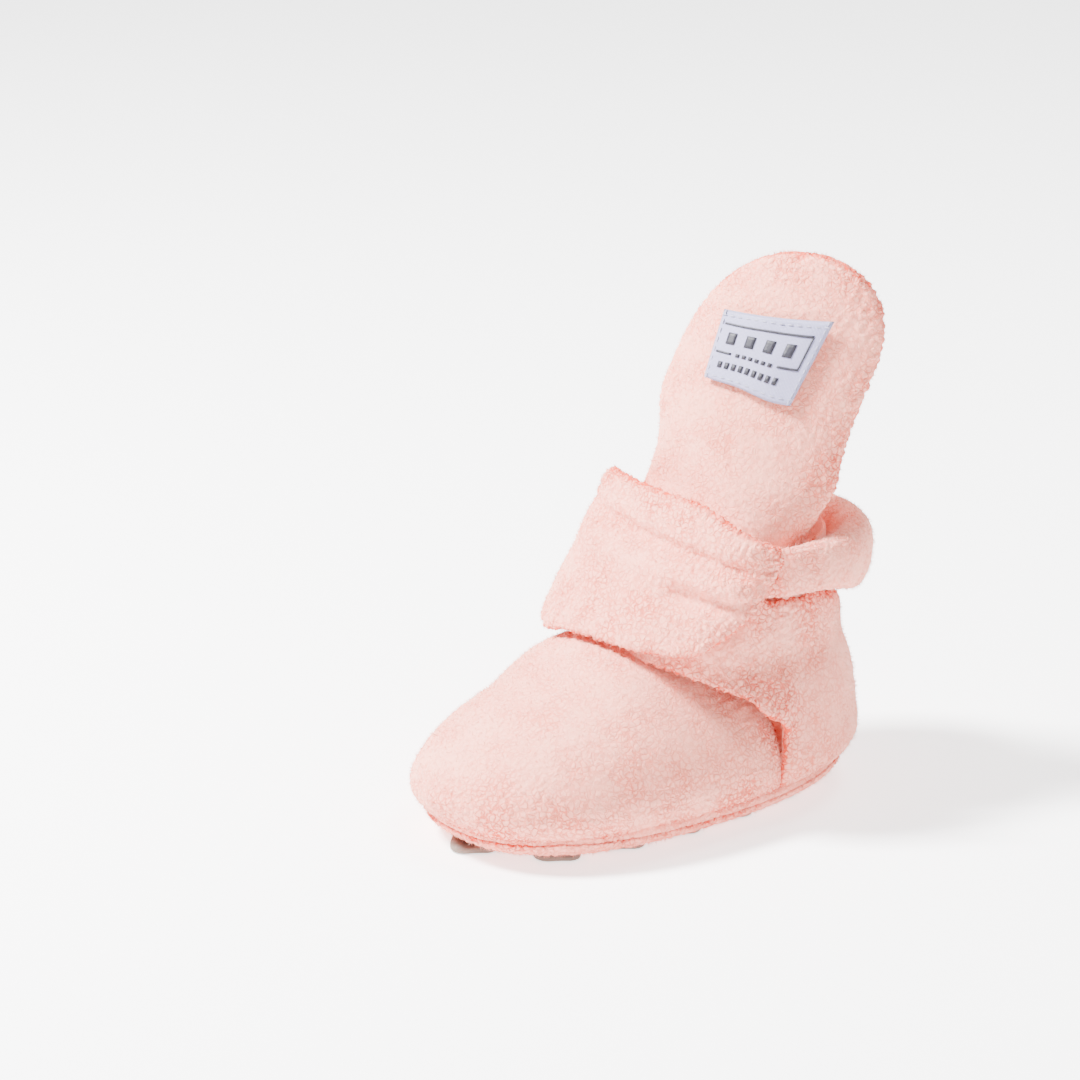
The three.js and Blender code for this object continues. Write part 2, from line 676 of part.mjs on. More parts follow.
// The fold line: level, at the front of the tongue; the flap lies beyond a plane square to the tongue.
const foldPoint = new THREE.Vector3(0, ankleFront(TONGUE_FOLD_HEIGHT), TONGUE_FOLD_HEIGHT);
function halfSpaceAtFold(sign) {
  const size = 200;
  const geometry = new THREE.BoxGeometry(size, size, size);
  geometry.translate(0, 0, sign * (size / 2 - GAP / 2));
  geometry.rotateX(-radians(LEAN));
  geometry.translate(foldPoint.x, foldPoint.y, foldPoint.z);
  return geometry;
}
const wholeTongue = (outside, inside, edge, columns, rows) =>
  tongueSheet(tongueLow, TONGUE_HEIGHT, outside, inside, edge, columns, rows);
const tongueOuter = wholeTongue(-GAP, -GAP - TONGUE_FLEECE, 0, 16, 22);
const tonguePad = wholeTongue(tonguePadOutside, tonguePadOutside - TONGUE_FOAM, 2, 16, 22);
const tongueLining = wholeTongue(tongueLiningOutside, tongueInside, 0.5, 16, 22);
const tongueCore = tongueSheet(tongueLow, TONGUE_FOLD_HEIGHT + 12, -GAP, tongueInside, 0, 14, 10);
add("tongue_base", cutBy(tongueCore, halfSpaceAtFold(1)), fleece);
add("tongue_outer", cutBy(tongueOuter, halfSpaceAtFold(-1)), fleece);
add("tongue_padding", cutBy(tonguePad, halfSpaceAtFold(-1), tongueOuter), foam);
add("tongue_lining", cutBy(tongueLining, halfSpaceAtFold(-1), tonguePad), liningFleece);

const labelPlace = (across, up, side) => {
  const sideways = LABEL_SHIFT + lerp(-0.5, 0.5, across) * LABEL_WIDTH;
  const reach = sideways / (sideways > 0 ? TONGUE_NEAR_HALF : TONGUE_FAR_HALF);
  return tonguePoint(reach, lerp(LABEL_LOW, LABEL_HIGH, up), side ? 0 : LABEL_THICKNESS);
};
add("label", panel(labelPlace, 10, 4), satin);

export default bootie;
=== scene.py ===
# %% [markdown]
# # A baby's fleece bootie
# A soft bootie is sewn from a handful of fleece panels: a sole whose edge rolls up, a toe box, a heel panel
# whose wing wraps the instep, a strap, a padded collar and a tall tongue. The solids for the frame are
# loaded first, and every soft panel is then made again as cloth on the same forms, in the same place.

# %% Load the frame
import math

import bmesh
import bpy
import numpy as np
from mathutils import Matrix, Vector


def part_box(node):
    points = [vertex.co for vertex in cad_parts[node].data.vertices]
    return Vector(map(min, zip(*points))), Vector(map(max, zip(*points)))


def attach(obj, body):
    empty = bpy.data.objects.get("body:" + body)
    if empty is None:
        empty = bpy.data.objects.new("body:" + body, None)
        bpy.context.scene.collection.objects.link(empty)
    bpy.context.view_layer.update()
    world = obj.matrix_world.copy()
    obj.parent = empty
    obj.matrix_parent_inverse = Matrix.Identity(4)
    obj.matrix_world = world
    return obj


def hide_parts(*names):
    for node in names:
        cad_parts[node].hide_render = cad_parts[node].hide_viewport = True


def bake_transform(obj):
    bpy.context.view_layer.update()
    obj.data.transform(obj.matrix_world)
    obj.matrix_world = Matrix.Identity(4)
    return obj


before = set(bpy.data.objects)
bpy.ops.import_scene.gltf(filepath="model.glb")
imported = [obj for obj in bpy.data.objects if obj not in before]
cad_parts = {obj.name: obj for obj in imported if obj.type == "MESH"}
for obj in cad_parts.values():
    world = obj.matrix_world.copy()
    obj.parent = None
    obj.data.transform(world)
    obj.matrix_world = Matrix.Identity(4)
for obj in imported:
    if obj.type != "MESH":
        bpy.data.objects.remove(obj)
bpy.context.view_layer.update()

MM = 0.001

# %% [markdown]
# ## Camera, floor and light
# The bootie is seen with a long lens from a little above its toe, on white paper, under soft lights. A long
# lens keeps the sole's outline nearly parallel, so the camera stands well back.

# %% Camera
LOOK_AZIMUTH = math.radians(51.5)
LOOK_ELEVATION = math.radians(18)
CAMERA_DISTANCE = 0.95
FRAME_WIDTH = 0.2455
AIM = Vector((-0.0163, -0.0135, 0.0616))

view_from = Vector(
    (
        math.sin(LOOK_AZIMUTH) * math.cos(LOOK_ELEVATION),
        -math.cos(LOOK_AZIMUTH) * math.cos(LOOK_ELEVATION), math.sin(LOOK_ELEVATION),
    )
)
camera_data = bpy.data.cameras.new("studio_camera")
camera = bpy.data.objects.new("studio_camera", camera_data)
bpy.context.collection.objects.link(camera)
camera_data.sensor_width = 36
camera_data.lens = 36 * CAMERA_DISTANCE / FRAME_WIDTH
camera_data.clip_start = 0.01
camera.location = AIM + view_from * CAMERA_DISTANCE
camera.rotation_euler = view_from.to_track_quat("Z", "Y").to_euler()
bpy.context.scene.camera = camera
print("lens", round(camera_data.lens), "mm at", CAMERA_DISTANCE, "m")

# %% [markdown]
# Two helpers come before any material. One turns an sRGB hex value to the linear numbers that shaders work
# in, and one adds a node with its settings and its links in a single line.

# %% Colour and node helpers
def linear(hex_value, alpha=1.0):
    """An sRGB hex colour as linear red, green, blue and alpha."""
    parts = [(hex_value >> shift & 255) / 255 for shift in (16, 8, 0)]
    parts = [c / 12.92 if c <= 0.04045 else ((c + 0.055) / 1.055) ** 2.4 for c in parts]
    return (*parts, alpha)


def add_node(tree, kind, values=None, links=None, **settings):
    """A node with its settings, its socket values, and links from (node, socket) pairs."""
    node = tree.nodes.new(kind)
    for key, value in settings.items():
        setattr(node, key, value)
    for socket, value in (values or {}).items():
        node.inputs[socket].default_value = value
    for socket, (source, output) in (links or {}).items():
        tree.links.new(source.outputs[output], node.inputs[socket])
    return node


def new_material(name):
    material = bpy.data.materials.new(name)
    material.use_nodes = True
    material.node_tree.nodes.clear()
    return material, material.node_tree


def finish_material(tree, shader):
    add_node(tree, "ShaderNodeOutputMaterial", links={"Surface": (shader, 0)})


# %% Floor, sky and lights
FLOOR_SIZE = 3.0
WHITE_PAPER = 0xFAFAFA
PAPER_GLOW = 1.9  # the sweep is lit from behind, as on a product table
paper, paper_tree = new_material("white_paper_matt")
paper_shader = add_node(
    paper_tree, "ShaderNodeBsdfPrincipled",
    {
        "Base Color": linear(WHITE_PAPER), "Roughness": 0.9, "Emission Color": linear(0xFFFFFF),
        "Emission Strength": PAPER_GLOW,
    },
)
finish_material(paper_tree, paper_shader)
half = FLOOR_SIZE / 2
floor_mesh = bpy.data.meshes.new("studio_floor")
floor_mesh.from_pydata(
    [(-half, -half, 0), (half, -half, 0), (half, half, 0), (-half, half, 0)], [], [(0, 1, 2, 3)]
)
floor_mesh.materials.append(paper)
floor = bpy.data.objects.new("studio_floor", floor_mesh)
bpy.context.collection.objects.link(floor)

world = bpy.data.worlds.new("studio_sky")
bpy.context.scene.world = world
world.use_nodes = True
sky = world.node_tree.nodes["Background"]
sky.inputs["Color"].default_value = linear(0xFFFFFF)
sky.inputs["Strength"].default_value = 0.4

# Each light: name, direction it comes from, size and strength in watts.
SOFT_LIGHTS = (
    ("key_softbox", (-0.45, -0.5, 0.88), 0.22, 66.0), ("fill_softbox", (0.95, -0.1, 0.55), 0.5, 3.0),
    ("top_softbox", (0.0, 0.5, 1.0), 0.4, 9.0),
)
LIGHT_DISTANCE = 1.0
for name, direction, size, watts in SOFT_LIGHTS:
    lamp = bpy.data.lights.new(name, "AREA")
    lamp.size = size
    lamp.energy = watts
    holder = bpy.data.objects.new(name, lamp)
    toward = Vector(direction).normalized()
    holder.location = toward * LIGHT_DISTANCE + Vector((0, 0, 0.05))
    holder.rotation_euler = toward.to_track_quat("Z", "Y").to_euler()
    bpy.context.collection.objects.link(holder)
print("lights", len(SOFT_LIGHTS))

# %% [markdown]
# ## The forms
# A bootie's upper is cut flat and takes its shape on two forms: a toe box that crowns from the toe to the
# instep, and an ankle form that the heel panel, the strap and the tongue wrap. Each form is one function
# from a place on it and a distance off it, in millimetres, so every layer can be laid at its own depth.

# %% Curves through points
def along(points, place):
    """A smooth curve through (place, value) points, level beyond its ends."""
    x, y = np.array(points, float).T
    place = np.clip(np.asarray(place, float), x[0], x[-1])
    step = np.diff(x)
    rate = np.diff(y) / step
    both = rate[:-1] * rate[1:]
    middle = np.where(both > 0, 2 * both / np.where(both > 0, rate[:-1] + rate[1:], 1), 0)
    slope = np.concatenate([rate[:1], middle, rate[-1:]])
    k = np.clip(np.searchsorted(x, place, "right") - 1, 0, len(step) - 1)
    t = (place - x[k]) / step[k]
    return (
        (2 * t**3 - 3 * t**2 + 1) * y[k]
        + (t**3 - 2 * t**2 + t) * step[k] * slope[k]
        + (3 * t**2 - 2 * t**3) * y[k + 1]
        + (t**3 - t**2) * step[k] * slope[k + 1]
    )


def signed_power(value, power):
    return np.sign(value) * np.abs(value) ** power


def smoothstep(low, high, value):
    t = np.clip((value - low) / (high - low), 0, 1)
    return t * t * (3 - 2 * t)


# %% Sole outline and the tuck at its seam
HALF_LENGTH, HALF_WIDTH = 57.5, 34.0
TOE_SQUARENESS, HEEL_SQUARENESS = 2.45, 2.3
TOE_TUCK, SIDE_TUCK, HEEL_TUCK = 4.8, 2.4, 1.2
UPPER_Z, BULGE = 6.3, 8.0
TOE_SHORT = 1.3  # the toe box is drawn back a little by its own stretch


def half_width_at(y, inset=0.0):
    n = np.where(y < 0, TOE_SQUARENESS, HEEL_SQUARENESS)
    share = np.clip(np.abs(y) / (HALF_LENGTH - inset), 0, 1)
    return (HALF_WIDTH - inset) * (1 - share**n) ** (1 / n)


def tucked(x, y, z):
    """Draws a point of the upper in towards the sole seam."""
    below = np.maximum(0, 1 - (z - UPPER_Z) / BULGE) ** 2
    end = np.where(y < 0, TOE_TUCK, HEEL_TUCK)
    y = np.where(y < 0, y * (1 - TOE_SHORT / HALF_LENGTH), y)
    x, y = x * (1 - SIDE_TUCK / HALF_WIDTH * below), y * (1 - end / HALF_LENGTH * below)
    return np.stack([x, y, z + 0 * x], axis=-1)


# %% Toe box
CROWN = ((0, 13), (2, 16), (6, 19.5), (16.5, 26.5), (32.5, 32.6), (49.5, 36), (62, 36.8))
CROWN_SQUARENESS = ((0, 2.4), (40, 2.2), (75, 2.05))
REAR_SIDE, REAR_TOP = 21.5, 3.5  # how far back the toe box goes at its sides and over the instep


def toe_box(across, back, out):
    """A point of the toe box: across 0 to 1 over the foot, back 0 to 1 from the toe, out off the form."""
    rise = np.sin(across * np.pi)
    rear = REAR_SIDE + (REAR_TOP - REAR_SIDE) * rise**6
    toe = -HALF_LENGTH - out
    y = toe + (rear - toe) * back
    squareness = along(CROWN_SQUARENESS, back * (rear + HALF_LENGTH))
    crown = along(CROWN, back * (rear + HALF_LENGTH)) + out
    x = half_width_at(y, -out) * signed_power(np.cos(across * np.pi), 2 / squareness)
    z = UPPER_Z + (crown - UPPER_Z) * rise ** (2 / squareness)
    return tucked(x, y, z)


# %% Ankle
LEAN = math.radians(29.5)
LEAN_SLOPE = math.tan(LEAN)
INSTEP_Z = 37.8
FRONT_Y, FRONT_Z = 0.5, 43  # a point that the leaning front passes through
ANKLE_HALF_WIDTH = (
    (6, 31.6), (14, 32), (20, 31), (26, 29.4), (32, 27), (38, 24.2), (45, 24.6), (60, 23), (76, 22.6),
    (123, 23.6),
)
HEEL_BACK = ((6, 55.1), (12, 55.1), (20, 53.7), (30, 52.7), (38, 50.9), (45, 50.6), (60, 53.6))
MIDDLE_FROM_HEEL = ((6, 57.5), (20, 50), (32, 40.5), (41, 33.5), (60, 29.5), (76, 26))
FRONT_SQUARENESS = ((30, 2.3), (41, 3))
BACK_SQUARENESS = 2.2


def ankle_front(z):
    return FRONT_Y + (np.maximum(z, INSTEP_Z) - FRONT_Z) * LEAN_SLOPE


def ankle(turn, z, out):
    """A point round the ankle: turn in degrees from the front, height z, and out off the form."""
    angle = np.radians(turn)
    middle = HALF_LENGTH - along(MIDDLE_FROM_HEEL, z) + np.maximum(0, z - 76) * LEAN_SLOPE
    forward = np.cos(angle) > 0
    to_front = middle - ankle_front(z) + out / math.cos(LEAN)
    reach = np.where(forward, to_front, along(HEEL_BACK, z) - middle + out)
    n = np.where(forward, along(FRONT_SQUARENESS, z), BACK_SQUARENESS)
    x = (along(ANKLE_HALF_WIDTH, z) + out) * signed_power(np.sin(angle), 2 / n)
    return tucked(x, middle - reach * signed_power(np.cos(angle), 2 / n), z)


# %% Tongue
FOLD_Z, TONGUE_TOP, TONGUE_ROUND = 76.5, 123.0, 25.0
TONGUE_LOW = INSTEP_Z + 1
TONGUE_SPREAD = ((INSTEP_Z, 0.62), (56, 0.94), (FOLD_Z, 1))
TONGUE_NEAR, TONGUE_FAR, TONGUE_CURVE, TONGUE_SHIFT = 30.0, 25.5, 44.0, 4.0
TONGUE_TWIST = math.radians(25)


def flap(side, z, out):
    angle = side * np.where(side > 0, TONGUE_NEAR, TONGUE_FAR) / TONGUE_CURVE
    sideways = (TONGUE_CURVE + out) * np.sin(angle)
    back = TONGUE_CURVE - (TONGUE_CURVE + out) * np.cos(angle)
    x = TONGUE_SHIFT + sideways * math.cos(TONGUE_TWIST) - back * math.sin(TONGUE_TWIST)
    y = ankle_front(z) + sideways * math.sin(TONGUE_TWIST) + back * math.cos(TONGUE_TWIST)
    return np.stack([x, y, z + 0 * x], axis=-1)


def tongue(side, z, out):
    """A point of the tongue: side -1 to 1 from its far to its near edge. It leaves the ankle as a flap."""
    turn = -64 + 168 * (1 + side * along(TONGUE_SPREAD, z)) / 2
    start = FOLD_Z - 9 * (1 + side)
    above = smoothstep(start, start + 16, z)[..., None]
    return ankle(turn, z, out) * (1 - above) + flap(side, z, out) * above


print("toe of the form", np.round(toe_box(np.array([0.5]), np.array([0.0]), np.array([0.0])), 1))

# %% [markdown]
# ## A panel of fleece
# A sewn panel is two faces that meet in a rolled edge. The panel builder lays a grid on a form, gives it a
# thickness that falls to nothing along its edges like a quarter of a circle, and lets the middle swell a
# little, because fleece that is sewn all round puffs up between its seams. The grid is coarse, so that the
# cloth solver can move it quickly, and it is divided twice afterwards.

# %% Welding and panel meshes
WELD_MM = 1e-4


def weld(points, faces, *values):
    """Joins points at the same place and drops the faces that collapse."""
    _, first, where = np.unique(np.round(points / WELD_MM), axis=0, return_index=True, return_inverse=True)
    kept = []
    for face in faces:
        ring = [int(where[i]) for i in face]
        ring = [v for k, v in enumerate(ring) if v != ring[k - 1]]
        if len(set(ring)) >= 3 and len(set(ring)) == len(ring):
            kept.append(ring)
    return points[first], kept, [v[first] for v in values]


def grid_faces(columns, rows, start=0, flip=False):
    faces = []
    for j in range(rows - 1):
        for i in range(columns - 1):
            a = start + j * columns + i
            quad = (a, a + 1, a + columns + 1, a + columns)
            faces.append(quad[::-1] if flip else quad)
    return faces


def mesh_object(name, points, faces, **attributes):
    """A mesh object from millimetres, with its faces turned outwards and a value at each point."""
    mesh = bpy.data.meshes.new(name)
    mesh.from_pydata([tuple(p) for p in np.asarray(points) * MM], [], [tuple(f) for f in faces])
    for key, value in attributes.items():
        mesh.attributes.new(key, "FLOAT", "POINT").data.foreach_set("value", np.asarray(value, np.float32))
    bm = bmesh.new()
    bm.from_mesh(mesh)
    bmesh.ops.recalc_face_normals(bm, faces=bm.faces)
    if bm.calc_volume(signed=True) < 0:
        bmesh.ops.reverse_faces(bm, faces=bm.faces)
    bm.to_mesh(mesh)
    bm.free()
    mesh.shade_smooth()
    piece = bpy.data.objects.new(name, mesh)
    bpy.context.collection.objects.link(piece)
    return piece


def edge_distance(points, sides):
    """Millimetres along the grid from each point to the nearest of the named sides."""
    near = np.full(points.shape[:2], 1e3)
    for axis, first, last in ((1, "start", "end"), (0, "low", "high")):
        step = np.linalg.norm(np.diff(points, axis=axis), axis=2)
        run = np.cumsum(step, axis=axis)
        run = np.concatenate([np.zeros_like(np.take(run, [0], axis)), run], axis=axis)
        if first in sides:
            near = np.minimum(near, run)
        if last in sides:
            near = np.minimum(near, np.take(run, [-1], axis) - run)
    return near


ALL_SIDES = ("start", "end", "low", "high")


def panel(
    name, form, across, up, outside, inside, sides=ALL_SIDES, roll=2.4, swell=0.8, folds=None, curl=None,
):
    """A closed panel on form(u, v, out), from depth outside to inside; sides names its rolled edges."""
    u, v = np.meshgrid(across, up)
    middle = (outside + inside) / 2 + 0 * u
    near = edge_distance(form(u, v, middle), sides)
    full = np.sqrt(1 - (1 - np.clip(near / roll, 0, 1)) ** 2)
    puff = swell * (1 - np.exp(-((near / 7) ** 2)))
    if folds is not None:
        puff = puff + folds(u, v, near)
    top = form(u, v, middle + (outside - middle) * full + puff)
    bottom = form(u, v, middle + (inside - middle) * full)
    rows, columns = u.shape
    faces = grid_faces(columns, rows) + grid_faces(columns, rows, rows * columns, flip=True)
    points = np.concatenate([top.reshape(-1, 3), bottom.reshape(-1, 3)])
    strength = np.exp(-near / 9) if curl is None else curl(u, v, near)
    both = np.concatenate([strength.ravel(), strength.ravel() * 0.4])
    points, faces, (both, near) = weld(points, faces, both, np.concatenate([near.ravel()] * 2))
    piece = mesh_object(name, points, faces, curl=np.clip(both, 0, 1), near=near)
    print(f"{name}: {len(points)} points, {len(faces)} faces")
    return piece

# %% [markdown]
# Coral fleece has a dense, short pile that clumps into curls of about 1.3 mm. They show most where the
# cloth bends over a seam, and lie flat as velour in the middle of a panel. They are real relief, so they
# are made in Geometry Nodes: the panel is divided, then each point moves along its normal by how near it is
# to the middle of a curl. The pattern reads each point's position, so it runs on across a seam and needs no
# UV map.

# %% The tree that raises the curls
def tree_with(name, inputs):
    """An empty geometry tree with named inputs, given as name: (socket type, default)."""
    tree = bpy.data.node_groups.new(name, "GeometryNodeTree")
    tree.interface.new_socket("Geometry", in_out="INPUT", socket_type="NodeSocketGeometry")
    for label, (kind, default) in inputs.items():
        socket = tree.interface.new_socket(label, in_out="INPUT", socket_type=kind)
        if default is not None:
            socket.default_value = default
    tree.interface.new_socket("Geometry", in_out="OUTPUT", socket_type="NodeSocketGeometry")
    return tree, add_node(tree, "NodeGroupInput")


def close_tree(tree, start, geometry):
    """Ends a tree in Realize Instances and Set Material."""
    real = add_node(tree, "GeometryNodeRealizeInstances", links={"Geometry": geometry})
    dressed = add_node(
        tree, "GeometryNodeSetMaterial", links={"Geometry": (real, 0), "Material": (start, "Material")}
    )
    add_node(tree, "NodeGroupOutput", links={"Geometry": (dressed, 0)})


def run_tree(piece, tree, **inputs):
    """Runs a tree on a piece and keeps the result as its plain mesh."""
    modifier = piece.modifiers.new("nodes", "NODES")
    modifier.node_group = tree
    for item in tree.interface.items_tree:
        if item.item_type == "SOCKET" and item.in_out == "INPUT" and item.name in inputs:
            modifier[item.identifier] = inputs[item.name]
    bpy.context.view_layer.update()
    graph = bpy.context.evaluated_depsgraph_get()
    made = bpy.data.meshes.new_from_object(piece.evaluated_get(graph), depsgraph=graph)
    piece.modifiers.clear()
    piece.data = made
    made.name = piece.name
    made.shade_smooth()
    return piece


curls_tree, start = tree_with(
    "fleece_curls",
    {
        "Divide": ("NodeSocketInt", 2), "Curl size": ("NodeSocketFloat", 1.3 * MM),
        "Curl height": ("NodeSocketFloat", 0.45 * MM), "Nap": ("NodeSocketFloat", 0.2),
        "Material": ("NodeSocketMaterial", None),
    },
)
fine = add_node(
    curls_tree, "GeometryNodeSubdivisionSurface",
    links={"Mesh": (start, "Geometry"), "Level": (start, "Divide")},
)
place = add_node(curls_tree, "GeometryNodeInputPosition")
frequency = add_node(curls_tree, "ShaderNodeMath", {0: 1.0}, {1: (start, "Curl size")}, operation="DIVIDE")
sway = add_node(
    curls_tree, "ShaderNodeTexNoise", {"Detail": 1.0}, {"Vector": (place, 0), "Scale": (frequency, 0)},
)
WANDER = 0.0012
wander = add_node(
    curls_tree, "ShaderNodeVectorMath", {1: (0.5, 0.5, 0.5)}, {0: (sway, "Color")}, operation="SUBTRACT"
)
wandered = add_node(
    curls_tree, "ShaderNodeVectorMath", {1: (WANDER,) * 3}, {0: (wander, 0), 2: (place, 0)},
    operation="MULTIPLY_ADD",
)
cells = add_node(
    curls_tree, "ShaderNodeTexVoronoi", {"Smoothness": 0.35},
    {"Vector": (wandered, 0), "Scale": (frequency, 0)}, feature="SMOOTH_F1",
)
curl_height = add_node(
    curls_tree, "ShaderNodeMapRange", {"From Min": 0.1, "From Max": 0.75, "To Min": 1.0, "To Max": 0.0},
    {"Value": (cells, "Distance")}, interpolation_type="SMOOTHSTEP",
)
PATCH = 1 / 0.011
patches = add_node(
    curls_tree, "ShaderNodeTexNoise", {"Scale": PATCH, "Detail": 2.0}, {"Vector": (place, 0)}
)
patchy = add_node(
    curls_tree, "ShaderNodeMapRange", {"From Min": 0.3, "From Max": 0.7, "To Min": 0.45, "To Max": 1.1},
    {"Value": (patches, 0)},
)
curl_share = add_node(curls_tree, "GeometryNodeInputNamedAttribute", {"Name": "curl"}, data_type="FLOAT")
strength = add_node(
    curls_tree, "ShaderNodeMath", {}, {0: (curl_share, 0), 1: (start, "Nap")}, operation="MAXIMUM",
)
strength = add_node(
    curls_tree, "ShaderNodeMath", {}, {0: (strength, 0), 1: (patchy, 0)}, operation="MULTIPLY"
)
raised = add_node(curls_tree, "ShaderNodeMath", {1: 0.5}, {0: (curl_height, 0)}, operation="SUBTRACT")
raised = add_node(
    curls_tree, "ShaderNodeMath", {}, {0: (raised, 0), 1: (strength, 0)}, operation="MULTIPLY"
)
moved = add_node(
    curls_tree, "ShaderNodeMath", {}, {0: (raised, 0), 1: (start, "Curl height")}, operation="MULTIPLY"
)
normal = add_node(curls_tree, "GeometryNodeInputNormal")
offset = add_node(
    curls_tree, "ShaderNodeVectorMath", {}, {0: (normal, 0), "Scale": (moved, 0)}, operation="SCALE"
)
curled = add_node(
    curls_tree, "GeometryNodeSetPosition", {}, {"Geometry": (fine, 0), "Offset": (offset, 0)}
)
close_tree(curls_tree, start, (curled, 0))
def settle(piece, body, slot, *nodes, fill=None):
    """Hides the solids a piece stands for and puts it on its body; slot, its finish, and fill, how full it
    is, are not used.
    """
    if nodes:
        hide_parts(*nodes)
    if body:
        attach(piece, body)


def raise_curls(piece, finish, height, **sizes):
    """Runs the curl tree on a piece, with curls of a height in millimetres."""
    run_tree(piece, curls_tree, **{"Curl height": height * MM, "Material": finish}, **sizes)


print("curl tree", len(curls_tree.nodes), "nodes")

# %% [markdown]
# Padded fleece is inflated rather than drawn. The cloth solver pushes each panel out from inside with a
# small pressure while its seams stay pinned, and the move is capped so that no panel reaches its
# neighbours.

# %% The cloth solver
CLOTH_FRAMES = 16


def inflate(piece, pressure=4.0, cap=1.2, pinned=3.0):
    """Inflates a panel with the cloth solver; points nearer an edge than pinned millimetres stay."""
    mesh = piece.data
    before = np.array([v.co for v in mesh.vertices])
    near = np.empty(len(mesh.vertices), np.float32)
    mesh.attributes["near"].data.foreach_get("value", near)
    group = piece.vertex_groups.new(name="seam")
    for k, d in enumerate(near):
        group.add([k], float(np.clip(1 - (d - pinned) / pinned, 0, 1)), "REPLACE")
    cloth = piece.modifiers.new("cloth", "CLOTH")
    cloth.settings.vertex_group_mass = "seam"
    cloth.settings.use_pressure = True
    cloth.settings.uniform_pressure_force = pressure
    cloth.settings.effector_weights.gravity = 0
    cloth.settings.tension_stiffness = cloth.settings.compression_stiffness = 12
    cloth.settings.bending_stiffness = 0.4
    scene = bpy.context.scene
    for step in range(1, CLOTH_FRAMES + 1):
        scene.frame_set(step)
    graph = bpy.context.evaluated_depsgraph_get()
    after = np.array([v.co for v in piece.evaluated_get(graph).data.vertices])
    piece.modifiers.clear()
    piece.vertex_groups.clear()
    scene.frame_set(1)
    move = after - before
    size = np.linalg.norm(move, axis=1, keepdims=True)
    limit = cap * MM
    move *= np.where(size > 1e-9, limit * np.tanh(size / limit) / np.maximum(size, 1e-9), 0)
    mesh.vertices.foreach_set("co", (before + move).astype(np.float32).ravel())
    mesh.update()
    print(f"{piece.name}: inflated by up to {size.max() / MM:.1f} mm, kept under {cap} mm")
    return piece

# %% [markdown]
# ## Materials
# Coral fleece is brushed polyester knit, piece-dyed pale salmon pink. Its pile scatters light, so it looks
# soft and slightly brighter at its rim, which sheen gives. Light that bounces between two curls picks up
# the dye, so gaps look more saturated than tips; here that is painted shade, a darker and more saturated
# colour in the grooves, and painted shade also darkens each panel's edges. The fine pile is a bump, drawn a
# little coarser than it is so that it shows.

# %% Coral fleece
CURL_MM = 1.35
COLOUR_WANDER = 0.0017


